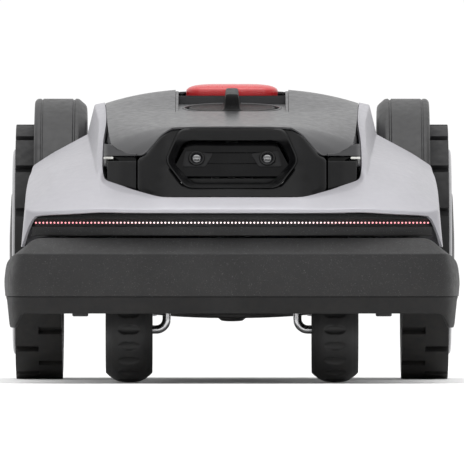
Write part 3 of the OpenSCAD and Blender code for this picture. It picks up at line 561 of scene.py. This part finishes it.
BAY_TILT = math.radians(66)
BAY_Z = 210
BAY_Y = FASCIA_Y - 0.5 + (BAY_Z - FASCIA_Z) * FASCIA_LEAN
LENS_X, LENS_Y = 33.3, 6.6
SEAT = [[10.6, 7.8], [13.4, -8.6], [-7.6, -8.6], [-9.4, -6.4], [-15.4, 5.0]]
LENS_RING = rounded([[4.9, -12.6], [4.9, -11.4], [6.1, -10.6], [7.2, -10.6], [7.7, -11.4], [7.7, -12.6]],
                    0.5, steps=3)
LENS_DOME = [[5.0, -12.4]] + [[5.0 * math.cos(a), -12.3 + 2.6 * math.sin(a)] for a in np.linspace(0, 1.5, 9)]
for side_name, side in SIDES.items():
    seat = np.array(SEAT) * [side, 1] + [side * LENS_X, LENS_Y]
    seat = rounded(seat, 1.8, steps=4, closed=True)
    middle = np.array([side * LENS_X, LENS_Y])
    loops = []
    for scale, z in ((1, -12.6), (1, -12.0), (0.95, -11.7), (0.56, -11.9), (0.5, -12.4)):
        flat = middle + (seat - middle) * scale
        loops.append(in_bay(np.column_stack([flat, np.full(len(flat), z)])))
    tube(f"lens_seat_{side_name}", loops, "chassis", LOOKS["skirt_plastic"], "skirt_plastic", caps=(False, False),
         inside=tuple(in_bay([side * LENS_X, LENS_Y, -30])), sharp=40)
    ring = lathe(LENS_RING, (side * LENS_X, LENS_Y, 0), "z", 48)
    tube(f"lens_ring_{side_name}", in_bay(ring), "chassis", LOOKS["fascia_gloss"], "fascia_gloss",
         caps=(False, False), inside=tuple(in_bay([side * LENS_X, LENS_Y, -30])), sharp=40)
    dome = lathe(LENS_DOME, (side * LENS_X, LENS_Y, 0), "z", 48)
    tube(f"lens_glass_{side_name}", in_bay(dome), "chassis", LOOKS["lens_glass"], "lens_glass",
         replaces=("camera_lenses",) if side == LEFT else (), inside=tuple(in_bay([side * LENS_X, LENS_Y, -30])),
         sharp=60)


# ---------- panels beside the nose ----------

for side_name, side in SIDES.items():
    low = np.interp(np.linspace(90.6, 117.6, 12), [89, 116, 120.2], [182.2, 188.8, 194])
    corner = []
    for x, z0 in zip(np.linspace(90.6, 117.6, 12), low):
        z = np.linspace(z0, 208.8, 9)
        corner.append(np.stack([np.full(9, side * x), fascia_y(np.full(9, x), z) + 0.2, z], axis=1))
    sheet(f"corner_panel_{side_name}", corner, "chassis", LOOKS["fascia_gloss"], "fascia_gloss",
          replaces=("corner_panels",) if side == LEFT else (), inside=(0, -100, 200), wall=2, bevel=0.6)


def along(rows, y, j):
    """Point j of the cover's rows at a given y, on its left side."""
    line = np.array([r[j] for r in rows])
    order = np.argsort(line[:, 1])
    return [np.interp(y, line[order, 1], line[order, k]) for k in (0, 2)]


HOOD_LIP = ((86, 101, 113.5, 120), (213.5, 216, 223, 224))
for side_name, side in SIDES.items():
    panel, slot_shade_rows, belt = [], [], []
    for x in np.linspace(90.4, 120.6, 14):
        z = np.linspace(213.8, max(216, np.interp(x, *HOOD_LIP) + 1), 6)
        panel.append(np.stack([np.full(6, side * x), fascia_y(np.full(6, x), z) + 2.5, z], axis=1))
        z = np.linspace(203, 217, 4)
        slot_shade_rows.append(np.stack([np.full(4, side * x), fascia_y(np.full(4, x), z) + 7, z], axis=1))
    sheet(f"belt_panel_{side_name}", panel, "chassis", LOOKS["hood_plastic"], "hood_plastic",
          inside=(0, -100, 200), wall=2, bevel=0.4)
    # Near-black sheet at the back of the slot: painted shade for the dark recess
    sheet(f"slot_back_shade_{side_name}", slot_shade_rows, "chassis", LOOKS["window_dark"], "window_dark",
          inside=(0, -100, 200), wall=1)
    # Near-black sheet down the gap between the hood edge and the cover rim: painted shade where the gap falls dark
    for y in np.linspace(-214, 314, 60):
        edge = [np.interp(y, np.array(HOOD_EDGE)[:, 0], np.array(HOOD_EDGE)[:, k]) for k in (1, 2)]
        rim = along(COVER[3:] + COVER_REAR, y, 0)
        belt.append([[side * (edge[0] - 2.6), y, edge[1] - 0.8], [side * (edge[0] - 1.8), y, edge[1] - 4],
                     [side * (rim[0] - 2.2), y, min(rim[1], edge[1] - 5) - 4]])
    sheet(f"belt_gap_shade_{side_name}", belt, "chassis", LOOKS["window_dark"], "window_dark",
          inside=(0, 50, 200), wall=1.2)
    # A small white piece at the outer end of the slot
    piece_outline = rounded_rect(9.4, 2.1, 1.0, 6)
    loops = []
    for inset, depth in ((0, 4), (0, 0.3), (0.3, 0)):
        x = side * (116.4 + piece_outline[:, 0] * (1 - inset / 4.7))
        z = 211.7 + piece_outline[:, 1] * (1 - inset)
        loops.append(np.stack([x, fascia_y(x, z) + 0.8 + depth, z], axis=1))
    tube(f"slot_white_piece_{side_name}", loops, "chassis", LOOKS["drum_nylon"], "drum_nylon",
         inside=(side * 116.4, -200, 211.7))


# ---------- light bar ----------

def bar_depth(x):
    """Y of the light bar's swept front at x."""
    return -300 + 36 * (np.abs(x) / 186)**2


LIP_TOP = ((0, 62, 97, 119, 152, 184, 187), (159.6, 159.6, 159.8, 160.1, 158.5, 156.6, 155))
BAR_PROFILE = rounded([[8, 138], [0.8, 138.4], [0, 147], [4.6, 147.6], [4.6, 153.2], [0, 153.8], [0.8, 159.6],
                       [9, 160], [14, 166]], [0, 1.2, 0.8, 0.8, 0.8, 0.8, 1.2, 1.5, 0], steps=3)
bar_x = np.linspace(-188.2, 188.2, 127)
bar_rows = []
for x in bar_x:
    lift = (np.interp(abs(x), *LIP_TOP) - 159.6) / 5.8
    bar_rows.append([[x, bar_depth(x) + d, z + lift * max(0, min(z - 153.8, 5.8))] for d, z in BAR_PROFILE])
sheet("light_bar", bar_rows, "chassis", LOOKS["bumper_plastic"], "bumper_plastic",
      replaces=("light_bar_housing",), inside=(0, -200, 150), wall=2)

LED_COUNT = 107
LED_PITCH = 3.47
STRIP_DEPTH = 4.9                        # the strip lies this far behind the bar's front
STRIP_Z = 150.7


def glow_material():
    """Glowing points, white in the middle and red towards the ends."""
    mat = bpy.data.materials.new("led_glow")
    mat.use_nodes = True
    shader = mat.node_tree.nodes["Principled BSDF"]
    coords = mat.node_tree.nodes.new("ShaderNodeTexCoord")
    split = mat.node_tree.nodes.new("ShaderNodeSeparateXYZ")
    spread = mat.node_tree.nodes.new("ShaderNodeMath")
    spread.operation = "ABSOLUTE"
    ramp = mat.node_tree.nodes.new("ShaderNodeMapRange")
    ramp.inputs["From Min"].default_value = 0.06
    ramp.inputs["From Max"].default_value = 0.14
    mix = mat.node_tree.nodes.new("ShaderNodeMix")
    mix.data_type = "RGBA"
    mix.inputs[6].default_value = (1.0, 0.82, 0.82, 1)
    mix.inputs[7].default_value = (1.0, 0.34, 0.37, 1)
    link = mat.node_tree.links.new
    link(coords.outputs["Object"], split.inputs["Vector"])
    link(split.outputs["X"], spread.inputs[0])
    link(spread.outputs["Value"], ramp.inputs["Value"])
    link(ramp.outputs["Result"], mix.inputs["Factor"])
    link(mix.outputs[2], shader.inputs["Emission Color"])
    link(mix.outputs[2], shader.inputs["Base Color"])
    shader.inputs["Emission Strength"].default_value = 1.3
    shader.inputs["Roughness"].default_value = 0.25
    return mat


strip_rows = []
for x in np.linspace(-186.4, 186.4, 125):
    strip_rows.append([[x, bar_depth(x) + STRIP_DEPTH, z] for z in np.linspace(148.2, 152.8, 5)])
sheet("light_strip", strip_rows, "chassis", LOOKS["light_red"], "light_red", replaces=("light_bar_strip",),
      inside=(0, -200, 150), wall=1.2)
leds = []
for k in range(LED_COUNT):
    x = (k - (LED_COUNT - 1) / 2) * LED_PITCH
    y = bar_depth(x) + STRIP_DEPTH
    ring = [[r * math.cos(a), r * math.sin(a), d] for r, d in ((0.95, 0), (0.8, -0.5), (0.4, -0.8))
            for a in np.linspace(0, 2 * math.pi, 10, endpoint=False)]
    v = np.array([[x + a, y + d, STRIP_Z + b] for a, b, d in ring])
    f = grid_faces(3, 10, wrap_m=True) + [tuple(20 + j for j in range(10))]
    leds.append((v, f))
led_v, led_f = joined(leds)
led_look = glow_material()
add_piece("light_points", led_v, led_f, "chassis", led_look, "light_red", sharp=80)


# ---------- bumper ----------

bumper = stations(mirrored(BUMPER), 5)
shell_rows = []
for r in bumper:
    foot, wide, crease, top = r
    inward = np.array([0 - top[0], -150 - top[1], 0])
    inward = inward / np.linalg.norm(inward)
    lip = top + inward * np.interp(abs(top[0]), [0, 170, 190, 205], [15, 12, 5, 2.5]) + [0, 0, -1.5]
    shell_rows.append(rounded([foot, wide, crease, top, lip], [0, 6, 1.0, 1.2, 0], steps=4))
sheet("bumper_body", shell_rows, "bumper", LOOKS["bumper_plastic"], "bumper_plastic",
      replaces=("bumper_shell",), inside=(0, -150, 100), wall=2.8, bevel=0.6)

skirt = []
for (foot, *_), low in zip(BUMPER, SKIRT_FOOT):
    foot = np.array(foot)
    inward = np.array([-foot[0] * 0.9, -150 - foot[1], 0.0])
    inward = inward / np.linalg.norm(inward)
    skirt.append([foot * [1, 1, 0] + [0, 0, 81.3] + inward * 0.6, foot * [1, 1, 0] + [0, 0, 78] + inward * 1.6,
                  foot * [1, 1, 0] + [0, 0, low + 3] + inward * 4.0,
                  foot * [1, 1, 0] + [0, 0, low] + inward * 5.0])
skirt_grid = stations(mirrored(skirt), 5)
sheet("bumper_apron", [rounded(r, [0, 1.5, 1.5, 0], steps=3) for r in skirt_grid], "bumper",
      LOOKS["skirt_plastic"], "skirt_plastic", replaces=("bumper_skirt",), inside=(0, -150, 70), wall=3, bevel=0.6)


for side_name, side in SIDES.items():
    pad = slab(15, 9, 3, [[1.2, 63.0], [0.2, 63.5], [0, 64.2], [0, 67]], (side * 142, -303))
    tube(f"skirt_pad_{side_name}", pad, "bumper", LOOKS["buffer_rubber"], "buffer_rubber",
         inside=(side * 142, -303, 66), sharp=50)


# ---------- fenders ----------

FENDER = [[140, 62], [140, 141], [148, 148], [151, 148], [151.7, 146.9], [153.1, 146.9], [153.8, 148], [182, 148],
          [182.6, 147.2], [183.8, 147.2], [184.4, 148], [187.6, 148], [190.4, 145.4], [190.4, 131.5],
          [187.4, 131.5]]
for side_name, side in SIDES.items():
    profile = rounded(FENDER, [0, 3, 5, 0.3, 0.3, 0.3, 0.3, 0.3, 0.3, 0.3, 0.3, 2, 2, 1, 0], steps=3)
    arc = []
    for t in np.linspace(0, 1, 73):
        row = []
        for x, r in profile:
            start = math.asin(27 / r)
            end = math.pi - max(start, math.acos(min(1, 134.3 / r)))
            a = start + t * (end - start)
            row.append([side * x, WHEEL_Y - r * math.cos(a), WHEEL_R + r * math.sin(a)])
        arc.append(row)
    sheet(f"fender_shell_{side_name}", arc, "chassis", LOOKS["fender_plastic"], "fender_plastic",
          replaces=(f"fender_{side_name}",), inside=(side * 165, WHEEL_Y, WHEEL_R), wall=2.8, bevel=0.7)


# ---------- tail ----------

TAIL = [[-126, 79], [126, 79], [126, 124], [117.5, 131], [103.5, 189.5], [-103.5, 189.5], [-117.5, 131],
        [-126, 124]]
tail_outline = rounded(TAIL, 6, steps=5, closed=True)
tail_centre = np.array([0, 130])
tail_loops = []
for scale, y in ((0.995, 300.6), (1, 306), (1, 313), (0.992, 315.2), (0.975, 316.2), (0.93, 316.4), (0.9, 315.4),
                 (0.89, 314.2), (0.45, 314.2)):
    flat = tail_centre + (tail_outline - tail_centre) * scale
    tail_loops.append(np.stack([flat[:, 0], np.full(len(flat), y), flat[:, 1]], axis=1))
tube("tail_shell", tail_loops, "chassis", LOOKS["fender_plastic"], "fender_plastic", caps=(False, True),
     replaces=("tail_panel",), inside=(0, 250, 130), sharp=40)


def bar(low, high, lean=0.0):
    """Corners and faces of a slat between two corners, its top pushed back by lean."""
    (x0, y0, z0), (x1, y1, z1) = low, high
    v = [[x0, y0, z0], [x1, y0, z0], [x1, y1, z0], [x0, y1, z0],
         [x0, y0 + lean, z1], [x1, y0 + lean, z1], [x1, y1 + lean, z1], [x0, y1 + lean, z1]]
    f = [(0, 3, 2, 1), (4, 5, 6, 7), (0, 1, 5, 4), (1, 2, 6, 5), (2, 3, 7, 6), (3, 0, 4, 7)]
    return v, f


slats = [bar((-60, 313.6, 146 + i * 7), (60, 316, 149.5 + i * 7), -1.2) for i in range(5)]
slat_v, slat_f = joined(slats)
add_piece("tail_slats", slat_v, slat_f, "chassis", LOOKS["chassis_plastic"], "chassis_plastic", bevel=0.5)
frames = []
for x in (-34, 34):
    frames += [bar((x - 15, 313.8, 93), (x + 15, 317.4, 95.4)),
               bar((x - 15, 313.8, 108.6), (x + 15, 317.4, 111)),
               bar((x - 15, 313.8, 95.2), (x - 12.6, 317.4, 108.8)),
               bar((x + 12.6, 313.8, 95.2), (x + 15, 317.4, 108.8))]
frame_v, frame_f = joined(frames)
add_piece("contact_frames", frame_v, frame_f, "chassis", LOOKS["chassis_plastic"], "chassis_plastic", bevel=0.6)


# ---------- drive wheels ----------

def wheel_face(side):
    """Rim face with ten shallow pockets between spokes, and the seat of the tyre round it."""
    radii = np.concatenate([[59.2, 60, 63, 66, 67.2], np.linspace(68.5, 88, 13),
                            [89.3, 91, 94, 96.5, 98.2, 98.9]])
    angles = np.linspace(0, 360, 241)[:-1]
    rows = []
    for r in radii:
        near = np.abs((angles + 18) % 36 - 18)
        across = np.clip((near * math.pi / 180 * r - 5.5) / 1.6, 0, 1)
        radial = np.clip((r - 66.5) / 1.6, 0, 1) * np.clip((90 - r) / 1.6, 0, 1)
        mask = across * radial
        edge = 1.6 * np.clip((r - 94.5) / 4.4, 0, 1)**2 + 1.5 * np.clip((61.5 - r) / 2.3, 0, 1)**2
        x = 211.6 - 5.5 * mask - edge
        a = np.radians(angles)
        rows.append(np.stack([side * x, WHEEL_Y + r * np.cos(a), WHEEL_R + r * np.sin(a)], axis=1))
    back = lathe([[98.9, 205]], (0, WHEEL_Y, WHEEL_R), "x", 240)[0]
    rows.append(np.stack([side * back[:, 0], back[:, 1], back[:, 2]], axis=1))
    return rows


CAP = rounded([[59, 206.5], [59, 211.4], [55.5, 213.2], [47.2, 213.6], [46.2, 212.9], [45.2, 213.7], [20, 214.8],
               [16.5, 214.9], [15.5, 213.4], [0.1, 213.4]], [0, 1.2, 2, 0.5, 0.5, 0.5, 3, 0.8, 0.8, 0], steps=3)
BARREL = rounded([[98.9, 204], [98.9, 164.2], [92, 164.2], [90, 170], [88, 184], [40, 196], [26, 197],
                  [25, 186], [8.1, 186], [8.1, 205]], [0, 0.6, 1.5, 2, 4, 4, 2, 1, 0.8, 0], steps=3)
for side_name, side in SIDES.items():
    tube(f"wheel_face_{side_name}", wheel_face(side), f"drive_wheel_{side_name}", LOOKS["rim_plastic"],
         "rim_plastic", caps=(False, False), replaces=(f"wheel_disc_{side_name}",),
         inside=(side * 150, WHEEL_Y, WHEEL_R), sharp=38)
    barrel = lathe(BARREL, (0, 0, 0), "x", 120) * [side, 1, 1] + [0, WHEEL_Y, WHEEL_R]
    tube(f"wheel_barrel_{side_name}", barrel, f"drive_wheel_{side_name}", LOOKS["skirt_plastic"],
         "skirt_plastic", caps=(False, False), inside=(side * 260, WHEEL_Y, WHEEL_R), sharp=38)
    cap = lathe(CAP, (0, 0, 0), "x", 120) * [side, 1, 1] + [0, WHEEL_Y, WHEEL_R]
    tube(f"wheel_cap_{side_name}", cap, f"drive_wheel_{side_name}", LOOKS["disc_plastic"], "disc_plastic",
         replaces=(f"hub_cap_{side_name}",), inside=(side * 150, WHEEL_Y, WHEEL_R), sharp=38)


# ---------- casters ----------

def dimpled_tyre(side):
    """Crowned tyre with a row of lens-shaped dimples."""
    angles = np.linspace(0, 360, 361)[:-1]
    across = np.linspace(-22, 22, 49)
    crown = CASTER_R - 9.3 * (np.abs(across) / 22)**2.6
    rows = []
    for a in angles:
        near = (a + 9) % 18 - 9
        along = np.abs(near) * math.pi / 180 * CASTER_R / 4.25
        dip = np.clip(1 - (across / 10)**2 - along**2, 0, 1)**0.5
        shoulder = 0.35 * np.exp(-((np.abs(across) - 17.5) / 0.8)**2)
        r = crown - 2.1 * dip - shoulder
        rad = math.radians(a)
        rows.append(np.stack([side * SWIVEL[0] + across, SWIVEL[1] + CASTER_TRAIL - r * math.cos(rad),
                              CASTER_R + r * math.sin(rad)], axis=1))
    return np.array(rows)


for side_name, side in SIDES.items():
    rows = dimpled_tyre(side)
    n, m, _ = rows.shape
    wall = lathe([[40.7, 22], [38, 22.6 - 0.8], [31, 21.2], [30, 20]], (0, 0, 0), "x", 72)
    parts = [(rows.reshape(-1, 3), grid_faces(n, m, wrap_n=True))]
    for end in (-1, 1):
        ring = wall * [end, 1, 1] + [side * SWIVEL[0], SWIVEL[1] + CASTER_TRAIL, CASTER_R]
        quads = grid_faces(4, 72, wrap_m=True)
        parts.append((ring.reshape(-1, 3), quads if end > 0 else [f[::-1] for f in quads]))
    v, f = joined(parts)
    add_piece(f"caster_tread_{side_name}", v, f, f"caster_wheel_{side_name}", LOOKS["caster_rubber"],
              "caster_rubber", replaces=(f"caster_tyre_{side_name}",),
              inside=(side * SWIVEL[0], SWIVEL[1] + CASTER_TRAIL, CASTER_R), sharp=50)


# ---------- controls ----------

button_levels = [[0.4, 270.5], [0, 271], [0, 277.2], [0.4, 278.4], [1.4, 279.6], [3, 280.7], [5.5, 281.8],
                 [9, 282.7], [14, 283.4], [20, 283.85], [26, 284]]
tube("stop_cap", slab(88, 56, 21, button_levels, (0, BUTTON_Y)), "stop_key", LOOKS["button_red"], "button_red",
     replaces=("stop_button",), inside=(0, BUTTON_Y, 275), sharp=50)

DISH_RIM = rounded([[44.6, 188.6], [44.9, 190.3], [45.4, 190.9], [46.4, 190.9], [47.2, 190.3], [47.6, 189.2]],
                   [0, 0.4, 0.4, 0.5, 0.6, 0], steps=3)
dish_rim = in_deck(lathe(DISH_RIM, (0, 0, 0), "z", 120))
tube("dish_rim", dish_rim, "chassis", LOOKS["hood_plastic"], "hood_plastic", caps=(False, False),
     inside=tuple(in_deck([0, 0, 180])), sharp=60)

DIAL = rounded([[30, 181.4], [41.6, 181.4], [42, 188.6], [40.6, 190.7], [38.4, 191], [37.2, 190.2], [9, 190.6]],
               [0, 0.8, 1.2, 0.8, 0.5, 0.8, 0], steps=3)
dial = lathe(DIAL, (0, 0, 0), "z", 144)
for ring in dial:
    radius = np.linalg.norm(ring[:, :2], axis=1)
    on_rim = (radius > 41) & (ring[:, 2] < 189)
    turn = np.arange(len(ring))
    ring[on_rim, :2] *= 1 - 0.006 * (turn[on_rim] % 3 == 0)[:, None]
tube("height_dial", in_deck(dial), "height_knob", LOOKS["knob_black"], "knob_black",
     replaces=("knob_dial",), inside=tuple(in_deck([0, 0, 186])), sharp=40)
grip_levels = [[-2.5, 190.9], [-1.2, 191.6], [0, 193.2], [0.6, 197], [1.0, 202], [1.6, 205.3], [2.6, 206.4],
               [4.4, 206.6]]
grip = slab(15, 66, 3.2, grip_levels, (0, 0), 8)
tube("height_grip", in_deck(grip), "height_knob", LOOKS["knob_black"], "knob_black",
     replaces=("knob_grip",), inside=tuple(in_deck([0, 0, 198])), sharp=40)


# ---------- bellows buffers and return spring, each with a mesh of its own ---

PIN_X, PIN_Z = 40, 108
BUFFER_Y = (-311.9, -274.3)
folds = []
for i in range(9):
    y = BUFFER_Y[0] + (BUFFER_Y[1] - BUFFER_Y[0]) * i / 8
    folds.append([5.6 if i % 2 == 0 else 7.5, y])
for side_name, side in SIDES.items():
    bellows = rounded([[4.6, BUFFER_Y[0]]] + folds + [[4.6, BUFFER_Y[1]]], 1.2, steps=3)
    rings = lathe(bellows, (side * PIN_X, 0, PIN_Z), "y", 40)
    buffer = tube(f"buffer_{side_name}", rings, "chassis", LOOKS["buffer_rubber"], "buffer_rubber",
                  caps=(False, False), replaces=("bumper_buffers",) if side == LEFT else (),
                  inside=(side * PIN_X, -293, PIN_Z), sharp=70)
    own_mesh(buffer)

COIL_R, WIRE_R, COIL_TURNS = 7.4, 0.65, 3
COIL_Z = (246.0, 251.1)
coil = []
for t in np.linspace(0, 1, COIL_TURNS * 32 + 1):
    a = t * COIL_TURNS * 2 * math.pi
    z = COIL_Z[0] + t * (COIL_Z[1] - COIL_Z[0])
    ring = []
    for b in np.linspace(0, 2 * math.pi, 10, endpoint=False):
        r = COIL_R + WIRE_R * math.cos(b)
        ring.append([r * math.cos(a), BUTTON_Y + r * math.sin(a), z + WIRE_R * math.sin(b)])
    coil.append(ring)
spring = tube("return_spring", coil, "chassis", LOOKS["screw_steel"], "screw_steel", replaces=("stop_spring",),
              sharp=60)
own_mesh(spring)


# ---------- CAD nodes that stay ----------

for part in frame["record"]["subparts"]:
    name, slot = part["node"], part["material_slot"]
    node = nodes[name]
    node.data.materials.clear()
    node.data.materials.append(LOOKS[slot])
    weld = node.modifiers.new("weld", "WELD")
    weld.merge_threshold = 0.01 * MM
    add_bevel(node, 0.15 if name in SMALL_NODES else 0.5)


# ---------- camera, floor, light ----------

scene = bpy.context.scene
camera = bpy.data.objects.new("camera", bpy.data.cameras.new("camera"))
scene.collection.objects.link(camera)
camera.location = (0, -14.78, 0.142)
camera.rotation_euler = (math.radians(90), 0, 0)
camera.data.lens = 1200
camera.data.sensor_width = 36
camera.data.clip_end = 200
scene.camera = camera

floor_mesh = bpy.data.meshes.new("floor")
floor_mesh.from_pydata([(-40, -40, 0), (40, -40, 0), (40, 60, 0), (-40, 60, 0)], [], [(0, 1, 2, 3)])
floor = bpy.data.objects.new("floor", floor_mesh)
scene.collection.objects.link(floor)
floor_look = surface("floor_paint", (0.86, 0.86, 0.86, 1), 0.7, grain=40, bump=0.02, tint=0.004)
floor_mesh.materials.append(floor_look)


def studio_world():
    """White overhead and behind the machine, darker in front of it."""
    world = bpy.data.worlds.new("studio")
    world.use_nodes = True
    tree = world.node_tree
    background = tree.nodes["Background"]
    coords = tree.nodes.new("ShaderNodeTexCoord")
    split = tree.nodes.new("ShaderNodeSeparateXYZ")
    tree.links.new(coords.outputs["Generated"], split.inputs["Vector"])
    levels = []
    for axis, from_min, from_max, low, high in (("Y", -0.7, 0.5, 0.14, 1.02), ("Z", 0.1, 0.8, 0.0, 1.5)):
        ramp = tree.nodes.new("ShaderNodeMapRange")
        ramp.interpolation_type = "SMOOTHSTEP"
        for key, value in (("From Min", from_min), ("From Max", from_max), ("To Min", low), ("To Max", high)):
            ramp.inputs[key].default_value = value
        tree.links.new(split.outputs[axis], ramp.inputs["Value"])
        levels.append(ramp.outputs["Result"])
    brighter = tree.nodes.new("ShaderNodeMath")
    brighter.operation = "MAXIMUM"
    tree.links.new(levels[0], brighter.inputs[0])
    tree.links.new(levels[1], brighter.inputs[1])
    tree.links.new(brighter.outputs["Value"], background.inputs["Strength"])
    background.inputs["Color"].default_value = (1, 1, 1, 1)
    return world


scene.world = studio_world()


def area_light(name, place, aim, size, power):
    """A soft rectangular light that faces a point; places are in metres."""
    light = bpy.data.lights.new(name, "AREA")
    light.shape = "RECTANGLE"
    light.size, light.size_y = size
    light.energy = power
    lamp = bpy.data.objects.new(name, light)
    lamp.location = place
    lamp.rotation_euler = (Vector(aim) - Vector(place)).to_track_quat("-Z", "Y").to_euler()
    scene.collection.objects.link(lamp)


area_light("light_top", (0, -0.2, 2.4), (0, 0, 0.15), (2.2, 1.6), 26)
area_light("light_front_left", (1.8, -2.2, 1.3), (0, -0.1, 0.15), (1.0, 1.0), 7)
area_light("light_front_right", (-1.8, -2.2, 1.3), (0, -0.1, 0.15), (1.0, 1.0), 7)
area_light("light_strip_high", (0, -2.6, 1.9), (0, -0.2, 0.2), (2.6, 0.16), 9)
area_light("light_strip_low", (0, -2.9, 0.95), (0, -0.2, 0.2), (2.2, 0.1), 5)
scene.view_settings.view_transform = "Standard"
scene.view_settings.look = "None"
